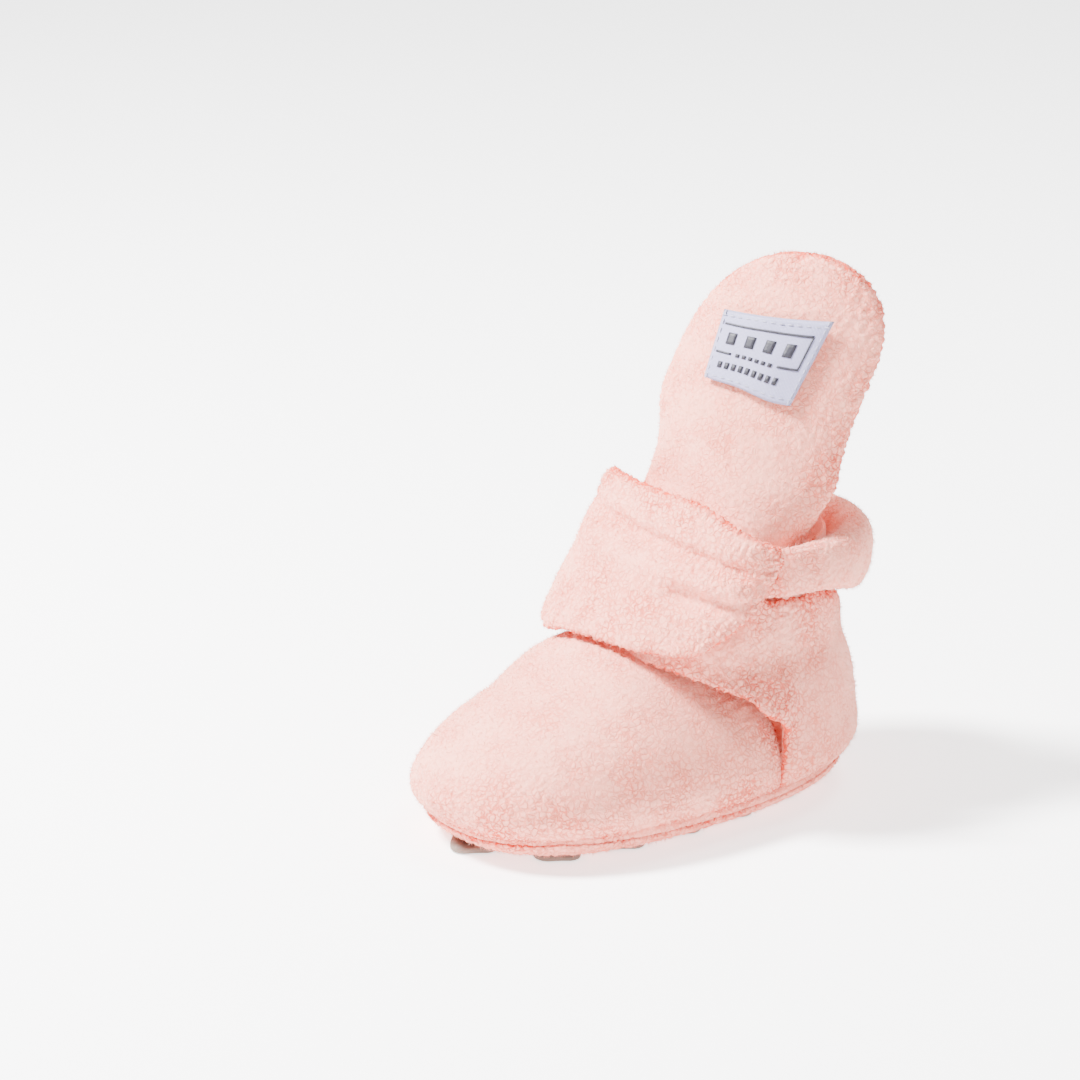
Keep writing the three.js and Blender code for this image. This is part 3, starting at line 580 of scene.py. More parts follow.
def fleece_material(name, tip, gap, bump=0.5, pile_mm=0.4, strength=1.0):
    """Brushed knit: tip colour on the curls, gap colour as painted shade in the grooves between them and
    along the panel edges, where strength scales the edge shade; the gap colour also marks random patches of
    uneven tone.
    """
    material, tree = new_material(name)
    place = add_node(tree, "ShaderNodeTexCoord")
    sway = add_node(
        tree, "ShaderNodeTexNoise", {"Scale": 1 / (CURL_MM * MM), "Detail": 2.0},
        {"Vector": (place, "Object")},
    )
    sway = add_node(
        tree, "ShaderNodeVectorMath", {1: (0.5, 0.5, 0.5)}, {0: (sway, "Color")}, operation="SUBTRACT"
    )
    wandered = add_node(
        tree, "ShaderNodeVectorMath", {1: (COLOUR_WANDER,) * 3}, {0: (sway, 0), 2: (place, "Object")},
        operation="MULTIPLY_ADD",
    )
    cells = add_node(
        tree, "ShaderNodeTexVoronoi", {"Scale": 1 / (CURL_MM * MM)}, {"Vector": (wandered, 0)},
        feature="DISTANCE_TO_EDGE",
    )
    # Painted shade: the grooves between curls take the darker, more saturated gap colour.
    groove = add_node(
        tree, "ShaderNodeMapRange", {"From Min": 0.0, "From Max": 0.2, "To Min": 1.0, "To Max": 0.0},
        {"Value": (cells, "Distance")}, interpolation_type="SMOOTHSTEP",
    )
    curl = add_node(tree, "ShaderNodeAttribute", attribute_name="curl")
    patches = add_node(
        tree, "ShaderNodeTexNoise", {"Scale": 1 / 0.009, "Detail": 3.0}, {"Vector": (place, "Object")}
    )
    patchy = add_node(
        tree, "ShaderNodeMapRange", {"From Min": 0.32, "From Max": 0.66, "To Min": 0.25, "To Max": 1.15},
        {"Value": (patches, 0)},
    )
    shown = add_node(
        tree, "ShaderNodeMath", {1: 0.85, 2: 0.12}, {0: (curl, "Fac")}, operation="MULTIPLY_ADD"
    )
    shown = add_node(tree, "ShaderNodeMath", {}, {0: (shown, 0), 1: (patchy, 0)}, operation="MULTIPLY")
    painted_shade = add_node(tree, "ShaderNodeMath", {}, {0: (shown, 0), 1: (groove, 0)}, operation="MULTIPLY")
    near = add_node(tree, "ShaderNodeAttribute", attribute_name="near")
    # Painted shade: the colour darkens within 1.8 mm of a panel's edge, where the crease shade of a seam
    # falls.
    tape_press_and_painted_edge_shade = add_node(
        tree, "ShaderNodeMapRange", {"From Min": 0.0, "From Max": 1.8, "To Min": 0.7, "To Max": 0.0},
        {"Value": (near, "Fac")},
    )
    painted_shade = add_node(
        tree, "ShaderNodeMath", {1: 0.7 * strength}, {0: (painted_shade, 0), 2: (tape_press_and_painted_edge_shade, 0)},
        operation="MULTIPLY_ADD",
    )
    uneven = add_node(
        tree, "ShaderNodeMapRange", {"From Min": 0.35, "From Max": 0.75, "To Min": 0.0, "To Max": 0.16},
        {"Value": (patches, 0)},
    )
    share = add_node(
        tree, "ShaderNodeMath", {}, {0: (painted_shade, 0), 1: (uneven, 0)}, operation="ADD", use_clamp=True
    )
    colour = add_node(
        tree, "ShaderNodeMix", {6: linear(tip), 7: linear(gap)}, {0: (share, 0)}, data_type="RGBA"
    )
    pile = add_node(
        tree, "ShaderNodeTexNoise", {"Scale": 1 / (pile_mm * MM), "Detail": 2.0, "Roughness": 0.6},
        {"Vector": (place, "Object")},
    )
    sunk = add_node(tree, "ShaderNodeMath", {}, {0: (shown, 0), 1: (groove, 0)}, operation="MULTIPLY")
    relief = add_node(
        tree, "ShaderNodeMath", {1: 0.3}, {0: (pile, 0), 2: (sunk, 0)}, operation="MULTIPLY_ADD"
    )
    fibres = add_node(
        tree, "ShaderNodeBump", {"Strength": bump, "Distance": 0.45 * MM}, {"Height": (relief, 0)},
        invert=True,
    )
    shader = add_node(
        tree, "ShaderNodeBsdfPrincipled",
        {
            "Roughness": 0.95, "IOR": 1.45, "Specular IOR Level": 0.15, "Sheen Weight": 0.2,
            "Sheen Roughness": 0.5, "Sheen Tint": linear(0xFFE0D8), "Subsurface Weight": 0.3,
            "Subsurface Radius": (1.0, 0.45, 0.3), "Subsurface Scale": 1.2 * MM,
        },
        {"Base Color": (colour, 2), "Normal": (fibres, 0)},
    )
    finish_material(tree, shader)
    return material


# The second colour of each fleece is the painted shade of its grooves and edges, also used for random
# uneven tone; strength sets how dark the painted edge shade is.
fleece = fleece_material("coral_fleece_brushed", 0xFFAA96, 0xDA482D, bump=0.65, strength=1.15)
sole_fleece = fleece_material("coral_fleece_sole", 0xFCA592, 0xD9452E, bump=0.6)
lining_fleece = fleece_material("lining_fleece_knit", 0xFAAA98, 0xDC5C42, bump=0.35)

# %% [markdown]
# The grips are soft silicone, printed thick on the sole and cured: matt, with a fine stipple and faint
# waves. The label is woven satin ribbon with a close weave. The tapes are nylon hook and brushed nylon
# loop.

# %% Silicone, satin and tapes
def matt_material(name, base, roughness, grain_mm, bump, tint=None, sheen=0.0, share=0.5):
    """A plain surface with an even grain: base colour, a second tint in the grain, and a bump."""
    material, tree = new_material(name)
    place = add_node(tree, "ShaderNodeTexCoord")
    grain = add_node(
        tree, "ShaderNodeTexNoise", {"Scale": 1 / (grain_mm * MM), "Detail": 3.0},
        {"Vector": (place, "Object")},
    )
    spread = add_node(
        tree, "ShaderNodeMapRange", {"From Min": 0.35, "From Max": 0.65, "To Min": 0.0, "To Max": share},
        {"Value": (grain, 0)},
    )
    colour = add_node(
        tree, "ShaderNodeMix", {6: linear(base), 7: linear(tint if tint is not None else base)},
        {0: (spread, 0)}, data_type="RGBA",
    )
    relief = add_node(
        tree, "ShaderNodeBump", {"Strength": bump, "Distance": 0.12 * MM}, {"Height": (grain, 0)}
    )
    shader = add_node(
        tree, "ShaderNodeBsdfPrincipled", {"Roughness": roughness, "IOR": 1.45, "Sheen Weight": sheen},
        {"Base Color": (colour, 2), "Normal": (relief, 0)},
    )
    finish_material(tree, shader)
    return material


# The silicone's own grey-brown, set darker as painted shade for the grips that show at the sole's edge.
silicone = matt_material("silicone_moulded_matt", 0x7C6C61, 0.6, 0.5, 0.35, 0x6A5A50)
hook_nylon = matt_material("nylon_hook_tape", 0xF2C4B8, 0.55, 0.35, 0.9, 0xDDA090)
loop_nylon = matt_material("nylon_loop_tape", 0xF4C8BC, 0.9, 0.3, 0.9, 0xE0A797, sheen=0.3)
elastic_knit = matt_material("elastic_knit", 0xF6F0EC, 0.75, 0.4, 0.8, 0xE4DAD5)
black_thread = matt_material("black_satin_thread", 0x24222C, 0.5, 0.25, 0.6, 0x3A3846)
white_thread = matt_material("polyester_thread_grey", 0xA9A7BC, 0.55, 0.3, 0.5, 0x8F8DA6, sheen=0.2)

# %% Woven satin label
WEAVE_MM = 0.32
satin, tree = new_material("satin_ribbon_woven")
place = add_node(tree, "ShaderNodeUVMap", uv_map="weave_mm")
threads = [
    add_node(
        tree, "ShaderNodeTexWave",
        {"Scale": 2 * math.pi / (20 * WEAVE_MM) , "Distortion": 0.4, "Detail": 1.0}, {"Vector": (place, 0)},
        bands_direction=axis,
    ) for axis in ("X", "Y")
]
weave = add_node(
    tree, "ShaderNodeMath", {}, {0: (threads[0], "Fac"), 1: (threads[1], "Fac")}, operation="MULTIPLY"
)
colour = add_node(
    tree, "ShaderNodeMix", {6: linear(0x8B88AE), 7: linear(0xB7B4D2)}, {0: (weave, 0)}, data_type="RGBA",
)
relief = add_node(tree, "ShaderNodeBump", {"Strength": 0.6, "Distance": 0.1 * MM}, {"Height": (weave, 0)})
shader = add_node(
    tree, "ShaderNodeBsdfPrincipled", {"Roughness": 0.5, "Sheen Weight": 0.25, "Sheen Roughness": 0.4},
    {"Base Color": (colour, 2), "Normal": (relief, 0)},
)
finish_material(tree, shader)
print("materials", len(bpy.data.materials))

# %% [markdown]
# ## Sole
# The sole is cut as one oval of fleece. Its edge rolls up and is drawn in at a seam all the way round, so
# from the side it looks like a soft pillow. A square grid is bent to the oval, which keeps every face a
# quad and leaves no pole in the middle.

# %% Sole
FLEECE_MM, GAP_MM = 2.4, 0.3
SOLE_BOTTOM, EDGE_RISE, EDGE_ROLL = 1.6, 4.5, 8.0
ROLL_SHARE = 0.78


def outline(turn, inset):
    """A point of the sole's outline, turn in radians from the toe, moved in by inset."""
    toe = np.cos(turn) > 0
    n = np.where(toe, TOE_SQUARENESS, HEEL_SQUARENESS)
    x = (HALF_WIDTH - SIDE_TUCK - inset) * signed_power(np.sin(turn), 2 / n)
    tuck = np.where(toe, TOE_TUCK + TOE_SHORT, HEEL_TUCK)
    y = -(HALF_LENGTH - tuck - inset) * signed_power(np.cos(turn), 2 / n)
    return x, y


def on_oval(u, v):
    """A square of u and v, 0 to 1, bent to a disc: turn in radians and radius 0 to 1."""
    a, b = 2 * u - 1, 2 * v - 1
    x, y = a * np.sqrt(1 - b * b / 2), b * np.sqrt(1 - a * a / 2)
    return np.arctan2(x, -y), np.hypot(x, y)


def sole_form(u, v, out):
    turn, radius = on_oval(u, v)
    quarter = np.clip((radius - ROLL_SHARE) / (1 - ROLL_SHARE), 0, 1) * np.pi / 2
    inset = EDGE_ROLL * (1 - np.sin(quarter))
    x, y = outline(turn, inset)
    inner = np.minimum(1, radius / ROLL_SHARE)
    away = np.sin(quarter)
    x, y = x * inner, y * inner
    length = np.maximum(np.hypot(x, y), 1e-6)
    x, y = x + out * away * x / length, y + out * away * y / length
    z = SOLE_BOTTOM + EDGE_RISE * (1 - np.cos(quarter)) - out * np.cos(quarter)
    return np.stack([x, y, z], axis=-1)


def sole_curl(u, v, near):
    return 0.62 + 0.3 * np.exp(-near / 6)


even = np.linspace(0, 1, 49)
outsole = panel(
    "sole_fleece", sole_form, even, np.linspace(0, 1, 65), 0.2, -FLEECE_MM + 0.2, roll=1.2, swell=0.0,
    curl=sole_curl,
)
raise_curls(outsole, sole_fleece, 0.8, Divide=2)
settle(outsole, "bootie", "sole_fleece", "outsole", fill=0.5)

# %% [markdown]
# ## Toe box
# The toe box is a dome that starts at the sole seam, runs over the toes and goes back under the heel
# panel's wing. Both halves of the grid meet in a short line at the tip of the toe, where they are welded.

# %% Toe box
def toe_spacing(count):
    return np.linspace(0, 1, count) ** 2.1


def toe_curl(u, v, near):
    return np.clip(0.95 * np.exp(-near / 7) + 0.3, 0, 1)


def instep_swell(u, v, near):
    """The toe box rises to meet the strap on its far side."""
    rear = REAR_SIDE + (REAR_TOP - REAR_SIDE) * np.sin(u * np.pi) ** 6
    from_toe = v * (rear + HALF_LENGTH)
    return 4.3 * smoothstep(32, 55, from_toe) * smoothstep(0.25, 0.5, u) * (1 - smoothstep(0.78, 0.98, u))


vamp = panel(
    "toe_box_fleece", toe_box, np.linspace(0, 1, 61), toe_spacing(38), 0.0, -FLEECE_MM,
    sides=("start", "end", "high"), roll=1.4, swell=0.0, folds=instep_swell, curl=toe_curl,
)
inflate(vamp, pressure=3.0, cap=0.9)
raise_curls(vamp, fleece, 0.8, Nap=0.24)
settle(vamp, "bootie", "fleece", "vamp_outer", fill=0.6)

# %% [markdown]
# The sole and the upper are sewn right sides together and turned, which leaves a rolled seam allowance
# inside the crease. It is a soft tube that follows the outline, and it closes the gap between the two
# panels.

# %% Seam roll
SEAM_RADIUS = 1.5


def closed_tube(name, path, radius, around=10, curl=0.6):
    """A tube round a closed path of millimetre points."""
    ahead = np.roll(path, -1, axis=0) - np.roll(path, 1, axis=0)
    ahead /= np.linalg.norm(ahead, axis=1, keepdims=True)
    out = np.cross(ahead, (0, 0, 1.0))
    out /= np.linalg.norm(out, axis=1, keepdims=True)
    lift = np.cross(out, ahead)
    angle = np.linspace(0, 2 * np.pi, around, endpoint=False)
    points = path[:, None] + radius * (
        np.cos(angle)[None, :, None] * out[:, None] + np.sin(angle)[None, :, None] * lift[:, None]
    )
    n = len(path)
    faces = [
        (
            i * around + k, i * around + (k + 1) % around, (i + 1) % n * around + (k + 1) % around,
            (i + 1) % n * around + k,
        ) for i in range(n) for k in range(around)
    ]
    flat = points.reshape(-1, 3)
    return mesh_object(name, flat, faces, curl=np.full(len(flat), curl), near=np.full(len(flat), 9.0))


seam_turns = np.linspace(0, 2 * np.pi, 180, endpoint=False)
seam_x, seam_y = outline(seam_turns, 1.7)
seam_path = np.stack([seam_x, seam_y, np.full_like(seam_x, 6.15)], axis=1)
seam_gap = np.linalg.norm(np.diff(seam_path, axis=0), axis=1)
seam_run = np.concatenate([[0], np.cumsum(seam_gap)])
even_run = np.linspace(0, seam_run[-1], 170)
seam_path = np.stack([np.interp(even_run, seam_run, seam_path[:, k]) for k in range(3)], axis=1)
seam_roll = closed_tube("sole_seam_roll", seam_path, SEAM_RADIUS)
raise_curls(seam_roll, sole_fleece, 0.4, Divide=2)
settle(seam_roll, "bootie", "sole_fleece", fill=0.6)

# %% [markdown]
# ## Heel panel and wing
# One panel cups the heel and runs forward as a wing over the instep, under the strap. Its lower edge laps
# over the toe box, and the fold there is the deepest crease of the bootie. It is pinched at the waist by
# the elastic.

# %% Heel panel
def lerp_edges(low, high, turn, up):
    return along(low, turn) * (1 - up) + along(high, turn) * up


QUARTER_FROM, QUARTER_SPAN = -56, 396  # degrees: the wing laps over the far end of the panel
NEAR_LOW = (
    (-56, 38.8), (0, 37.8), (20, 37.2), (54, 33.5), (78, 29.8), (93, 25.3), (101, 20.8), (104, 14),
    (107, 6.3),
)
QUARTER_LOW = NEAR_LOW + tuple((360 - turn, z) for turn, z in reversed(NEAR_LOW) if turn > 0)
QUARTER_HIGH = (
    (-56, 66), (0, 68), (60, 65), (68, 62), (76, 53), (82, 51.2), (98, 50.8), (125, 48), (150, 46),
    (281, 46), (285, 66), (299, 66), (303, 37.4), (340, 37.6),
)


def quarter_form(u, v, out):
    turn = QUARTER_FROM + QUARTER_SPAN * u
    stand = 1.0 + 1.4 * (1 - smoothstep(10, 60, turn)) + 1.2 * smoothstep(50, 70, turn)
    flare = (1 - v) ** 2 * stand * (1 - smoothstep(97, 104, turn))
    return ankle(turn, lerp_edges(QUARTER_LOW, QUARTER_HIGH, turn, v), out + flare)


def quarter_turns():
    """Columns: close together at the seams, where the edges turn sharply."""
    return (np.concatenate([
        np.linspace(-56, 70, 46), np.linspace(73, 112, 22), np.linspace(116, 244, 48),
        np.linspace(248, 287, 22), np.linspace(290, 340, 20),
    ]) - QUARTER_FROM) / QUARTER_SPAN


def under_tape(turn, z):
    """Where the loop tape is sewn on, which presses the wing thin."""
    across = smoothstep(26, 36, turn) * (1 - smoothstep(65, 71, turn))
    return across * smoothstep(42, 47, z) * (1 - smoothstep(61, 65, z))


def waist_gathers(u, v, near):
    """Small upright pleats where the elastic draws the heel in, and the flat under the tape."""
    turn = QUARTER_FROM + QUARTER_SPAN * u
    behind = smoothstep(95, 125, turn) * (1 - smoothstep(235, 265, turn))
    ripple = np.sin(np.radians(turn) * 13) + 0.6 * np.sin(np.radians(turn) * 21 + 1)
    full = 2.1 * behind * smoothstep(0, 0.12, v) * (1 - 0.8 * smoothstep(0.4, 0.95, v))
    tape_press_and_painted_edge_shade = 1.3 * under_tape(turn, lerp_edges(QUARTER_LOW, QUARTER_HIGH, turn, v))
    return full + behind * (
        0.35 * ripple * smoothstep(0.55, 0.95, v) - 0.5 * smoothstep(0.9, 1, v)
    ) - tape_press_and_painted_edge_shade


def quarter_curl(u, v, near):
    turn = QUARTER_FROM + QUARTER_SPAN * u
    front = 1 - smoothstep(104, 125, turn)
    return np.clip(0.28 + 0.75 * np.exp(-near / (6 + 5 * front)), 0, 1)


quarter = panel(
    "heel_panel_fleece", quarter_form, quarter_turns(), np.linspace(0, 1, 20), FLEECE_MM, 0.0, roll=2.8,
    swell=0.35, folds=waist_gathers, curl=quarter_curl,
)
inflate(quarter, pressure=3.0, cap=0.7)
raise_curls(quarter, fleece, 0.8, Nap=0.22)
settle(quarter, "bootie", "fleece", "quarter_outer", fill=0.6)

# %% [markdown]
# ## Collar
# The collar is a tube of fleece filled with wadding. It goes round the back of the ankle from one side of
# the wing to the other, and the elastic under it draws it in, so it bulges over the waist.

# %% Collar
COLLAR_LOW, COLLAR_HIGH, COLLAR_THICK = 46.3, 63.3, 7.2
COLLAR_START, COLLAR_END = 64.0, 280.0


def collar_size(u):
    return 0.7 + 0.3 * np.sin(np.pi * np.clip(u, 0.0, 1.0)) ** 0.35


def collar_form(u, v, out):
    """A tube: u runs round the ankle and v round the tube. Its two ends close to a rounded tip."""
    turn = COLLAR_START + (COLLAR_END - COLLAR_START) * u
    close = np.sqrt(np.clip(1 - (1 - np.minimum(u, 1 - u) / 0.02).clip(0, 1) ** 2, 0, 1))
    size = collar_size(u) * np.maximum(close, 1e-4)
    angle = v * 2 * np.pi
    pleat = 1 + 0.035 * np.sin(turn * 0.31) * (np.sin(angle) < 0)
    low = COLLAR_LOW + 5.0 * (1 - smoothstep(95, 150, turn))
    z = (low + COLLAR_HIGH) / 2 + (COLLAR_HIGH - low) / 2 * size * signed_power(np.sin(angle), 0.85)
    under_strap = 1 - smoothstep(74, 97, turn)
    middle = COLLAR_THICK / 2 - (COLLAR_THICK / 2 - 2.3) * under_strap
    thick = COLLAR_THICK / 2 - (COLLAR_THICK / 2 - 1.9) * under_strap
    away = middle + thick * size * pleat * signed_power(np.cos(angle), 0.85)
    behind = smoothstep(85, 115, turn) * (1 - smoothstep(245, 275, turn))
    return ankle(turn, z, away - 0.2 + 2.2 * behind * (np.cos(angle) + 1) / 2)


def ring_mesh(name, form, around, along_it, curl):
    """A closed tube from form(u, v), whose ends have shrunk to a point."""
    u, v = np.meshgrid(along_it, np.linspace(0, 1, around + 1))
    v[-1] = 0
    points = form(u, v, 0 * u)
    for column in (0, -1):
        points[:, column] = points[:, column].mean(axis=0)
    strength = np.broadcast_to(curl(u, v), u.shape)
    points, faces, (strength, near) = weld(
        points.reshape(-1, 3), grid_faces(len(along_it), around + 1), strength.ravel(),
        np.full(u.size, 9.0),
    )
    return mesh_object(name, points, faces, curl=strength, near=near)


tips = np.array([0, 0.002, 0.006, 0.012, 0.02])
collar = ring_mesh(
    "collar_fleece", collar_form, 22, np.concatenate([tips, np.linspace(0.03, 0.97, 74), 1 - tips[::-1]]),
    lambda u, v: 0.3 + 0.45 * (1 - smoothstep(0.0, 0.3, u)) + 0.15 * np.sin(v * 2 * np.pi) ** 2,
)
raise_curls(collar, fleece, 0.75, Nap=0.28)
settle(collar, "bootie", "fleece", "collar_band", fill=0.7)

# %% [markdown]
# ## Strap
# The far wing goes on as the strap, which crosses the instep and closes with hook and loop under its
# rounded end. The strap peels open about its far root. The fleece is doubled, which makes the soft fold
# that runs along it.

# %% Strap
STRAP_INSIDE, STRAP_OUTSIDE = 4.8, 7.9
STRAP_LOW = (
    (-79, 41), (-58, 38.6), (-35, 37.4), (0, 40.6), (28, 40.6), (42, 41.8), (54, 45.4), (64, 50.2),
    (71, 55), (75.5, 59), (77, 62),
)
STRAP_HIGH = (
    (-79, 64.5), (-66, 69), (-50, 72.2), (-30, 73.4), (10, 73.2), (45, 69.6), (60, 67.9), (68, 66.8),
    (73, 65.4), (76, 63.6), (77, 62),
)
STRAP_FROM, STRAP_TO = -79.0, 77.0


def end_lift(turn):
    """The strap's end stands a little off the wing, on the tape's hooks."""
    return 2.5 * smoothstep(24, 62, turn)


def strap_form(u, v, out):
    turn = STRAP_FROM + (STRAP_TO - STRAP_FROM) * u
    flare = 2.0 * (1 - v) ** 2 * smoothstep(-75, -45, turn) * (1 - smoothstep(-5, 25, turn))
    return ankle(turn, lerp_edges(STRAP_LOW, STRAP_HIGH, turn, v), out + flare + end_lift(turn))


def strap_folds(u, v, near):
    """Two soft creases along the strap, and the fold that stands up between them."""
    turn = STRAP_FROM + (STRAP_TO - STRAP_FROM) * u
    z = lerp_edges(STRAP_LOW, STRAP_HIGH, turn, v)
    fade = smoothstep(-60, -20, turn) * (1 - smoothstep(50, 68, turn))
    first = np.exp(-(((z - (62.5 - 0.045 * (turn - 10))) / 1.7) ** 2))
    second = np.exp(-(((z - (54.5 - 0.03 * (turn - 20))) / 1.5) ** 2)) * smoothstep(10, 25, turn)
    ridge = np.exp(-(((z - (58.6 - 0.04 * (turn - 15))) / 2.4) ** 2))
    return fade * (1.6 * ridge - 3.0 * first - 2.2 * second) * np.clip(near / 4, 0, 1)


strap_turns = np.concatenate([np.linspace(0, 0.82, 60)[:-1], 1 - (1 - 0.82) * np.linspace(1, 0, 22) ** 1.9])
strap = panel(
    "strap_fleece", strap_form, strap_turns, np.linspace(0, 1, 20), STRAP_OUTSIDE, STRAP_INSIDE, roll=2.2,
    swell=0.1, folds=strap_folds, curl=lambda u, v, near: np.clip(0.42 + 0.6 * np.exp(-near / 6), 0, 1),
)
inflate(strap, pressure=4.0, cap=1.0)
raise_curls(strap, fleece, 0.95, Nap=0.3)

# %% [markdown]
# ## Tongue
# The tongue is a padded flap with a rounded top. It stands behind the strap, leans back, and folds forward
# when the bootie is opened. Below the strap it lies on the instep.

# %% Tongue
TONGUE_OUTSIDE, TONGUE_INSIDE = -0.3, -5.4


def tongue_form(u, v, out):
    z = TONGUE_LOW + (TONGUE_TOP - TONGUE_LOW) * v
    side = 2 * u - 1
    side = side * (1 + 0.1 * np.exp(-(((z - 70) / 9) ** 2)) * (side > 0))
    round_top = np.sqrt(
        np.clip(1 - np.clip((z - (TONGUE_TOP - TONGUE_ROUND)) / TONGUE_ROUND, 0, 1) ** 2.1, 0, 1)
    )
    return tongue(side * np.maximum(round_top, 0.02), z, out)


tongue_rows = 1 - (1 - np.linspace(0, 1, 52)) ** 1.35
tongue_piece = panel(
    "tongue_fleece", tongue_form, np.linspace(0, 1, 34), tongue_rows, TONGUE_OUTSIDE, TONGUE_INSIDE,
    roll=3.0, swell=0.0, curl=lambda u, v,
    near: np.clip(0.3 + 0.65 * np.exp(-near / 5.5) * (0.35 + 0.65 * smoothstep(0.45, 0.8, u)), 0, 1),
)
inflate(tongue_piece, pressure=3.5, cap=1.4)
raise_curls(tongue_piece, fleece, 0.8, Nap=0.26)

# %% [markdown]
# The strap and the tongue each cross one joint. The two ends of each hinge are worked out here, the solids
# they stand for are hidden, and each piece's placement is baked into its points; neither is put on a body.

# %% Hinge ends
settle(strap, None, "fleece", "strap_anchor", "strap_outer", "strap_lining", fill=0.5)
root_out = ankle(np.array([-76.0]), np.array([56.0]), np.array([6.0]))[0] * MM
root_in = ankle(np.array([-62.0]), np.array([56.0]), np.array([6.0]))[0] * MM
strap_bend = (tuple(root_out), tuple(root_in))
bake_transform(strap)

tongue_layers = ("tongue_base", "tongue_outer", "tongue_padding", "tongue_lining")
settle(tongue_piece, None, "fleece", *tongue_layers, fill=0.6)
fold_y = ankle_front(FOLD_Z)
up_tongue = np.array([0, math.sin(LEAN), math.cos(LEAN)])
fold_at = np.array([0, fold_y, FOLD_Z])
FOLD_REACH = 9.0
tongue_bend = (
    tuple((fold_at - up_tongue * FOLD_REACH) * MM), tuple((fold_at + up_tongue * FOLD_REACH) * MM),
)
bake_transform(tongue_piece)

# %% [markdown]
# ## Linings
# Inside, the bootie is lined with a thinner knit fleece: a footbed over the wadding, and a lining for the
# toe box, the heel and the collar. A narrow elastic lies between the heel and its lining. They are seen
# through the ankle opening.

# %% Footbed and linings
def footbed_form(u, v, out):
    turn, radius = on_oval(u, v)
    x, y = outline(turn, 6.4)
    return np.stack([x * radius, y * radius, 8.0 + out - 0.5 * radius**6], axis=-1)


footbed = panel(
    "footbed_lining_knit", footbed_form, np.linspace(0, 1, 31), np.linspace(0, 1, 41), 0.0, -1.4, roll=1.0,
    swell=0.0, curl=lambda u, v, near: 0.5 + 0 * u,
)


toe_lining = panel(
    "toe_lining_knit", lambda u, v, out: toe_box(u, v * 0.97, out), np.linspace(0, 1, 45), toe_spacing(26),
    -FLEECE_MM - GAP_MM, -FLEECE_MM - GAP_MM - 1.4, sides=("start", "end", "high"), roll=1.2, swell=0.0,
    curl=lambda u, v, near: 0.4 + 0 * u,
)


def band_form(turn_from, turn_to, low, high):
    """Part of the ankle form between two turns and two heights."""

    def form(u, v, out):
        return ankle(turn_from + (turn_to - turn_from) * u, low + (high - low) * v + 0 * u, out)

    return form


heel_lining = panel(
    "heel_lining_knit", band_form(112, 250, 6.5, 46.0), np.linspace(0, 1, 61), np.linspace(0, 1, 19), -0.3,
    -1.7, roll=1.0, swell=0.0, curl=lambda u, v, near: 0.4 + 0 * u,
)
collar_lining = panel(
    "collar_lining_knit", band_form(112, 248, 46.3, 61.6), np.linspace(0, 1, 51), np.linspace(0, 1, 9),
    -1.7, -3.1, roll=1.0, swell=0.0, curl=lambda u, v, near: 0.5 + 0 * u,
)
for lining, node in (
    (footbed, "footbed_lining"), (toe_lining, "vamp_lining"), (heel_lining, "quarter_lining"),
    (collar_lining, "collar_lining"),
):
    raise_curls(lining, lining_fleece, 0.25, **{"Divide": 1, "Curl size": 1.6 * MM})
    settle(lining, "bootie", "lining_fleece", node, fill=0.3)

# %% Wadding and elastic
wadding_white = matt_material("polyester_wadding", 0xF6F2EA, 0.95, 1.2, 0.8, 0xE6E0D6, sheen=0.2)
wadding = panel(
    "sole_wadding", lambda u, v, out: footbed_form(u, v, out - 1.75), np.linspace(0, 1, 31),
    np.linspace(0, 1, 41), 0.0, -1.9, roll=1.0, swell=0.0,
)
raise_curls(wadding, wadding_white, 0.1, Divide=1)
settle(wadding, "bootie", "wadding", "sole_padding", fill=0.6)

heel_elastic = panel(
    "heel_elastic_braid", band_form(116, 244, 46.4, 51.2), np.linspace(0, 1, 129), np.linspace(0, 1, 9),
    -0.35, -1.3, roll=0.5, swell=0.0, folds=lambda u, v, near: 0.12 * np.sin(v * np.pi * 14) * (near > 0.6),
)
raise_curls(heel_elastic, elastic_knit, 0.0, Divide=0)
settle(heel_elastic, "bootie", "elastic", "heel_elastic")

# %% [markdown]
# ## Hook and loop
# Two patches of tape lie face to face under the strap's end. The loop side is sewn to the wing. The hook
# side rides under the strap. Hooks and loops are finer than can be seen here, so both are a grain on the
# surface.

# %% Tapes
TAPE_FROM, TAPE_TO = 36.0, 66.0
TAPE_LOW = ((36, 46), (50, 48), (62, 51), (66, 53.5))
TAPE_HIGH = ((36, 63), (50, 62.8), (62, 61), (66, 59))


def tape_form(lift):
    """The tapes' form: the hook side follows the strap's lifted end, the loop side lies on the wing."""

    def form(u, v, out):
        turn = TAPE_FROM + (TAPE_TO - TAPE_FROM) * u
        return ankle(turn, lerp_edges(TAPE_LOW, TAPE_HIGH, turn, v), out + lift * end_lift(turn))

    return form


for name, node, outside, inside, lift, body, finish, slot in (
    ("hook_tape", "hook_patch", 4.6, 3.0, 1.0, "strap", hook_nylon, "hook_tape"),
    ("loop_tape", "loop_patch", 3.7, 2.7, 0.0, "bootie", loop_nylon, "loop_tape"),
):
    tape = panel(
        name, tape_form(lift), np.linspace(0, 1, 31), np.linspace(0, 1, 19), outside, inside, roll=0.3,
        swell=0.0,
    )
    raise_curls(tape, finish, 0.1, **{"Divide": 1, "Curl size": 0.6 * MM})
    settle(tape, body, slot, node)

# %% [markdown]
# ## Silicone grips
# Each grip is a little cloud with a flat base and three lobes. The silicone is printed on, so its edge is
# round and its face swells slightly, with faint ripples where it settled on the pile. One outline is
# filled, raised and rounded, and repeated where the eighteen solids are.

# %% Grips
GRIP_TOP, GRIP_ROUND = 1.7, 0.75


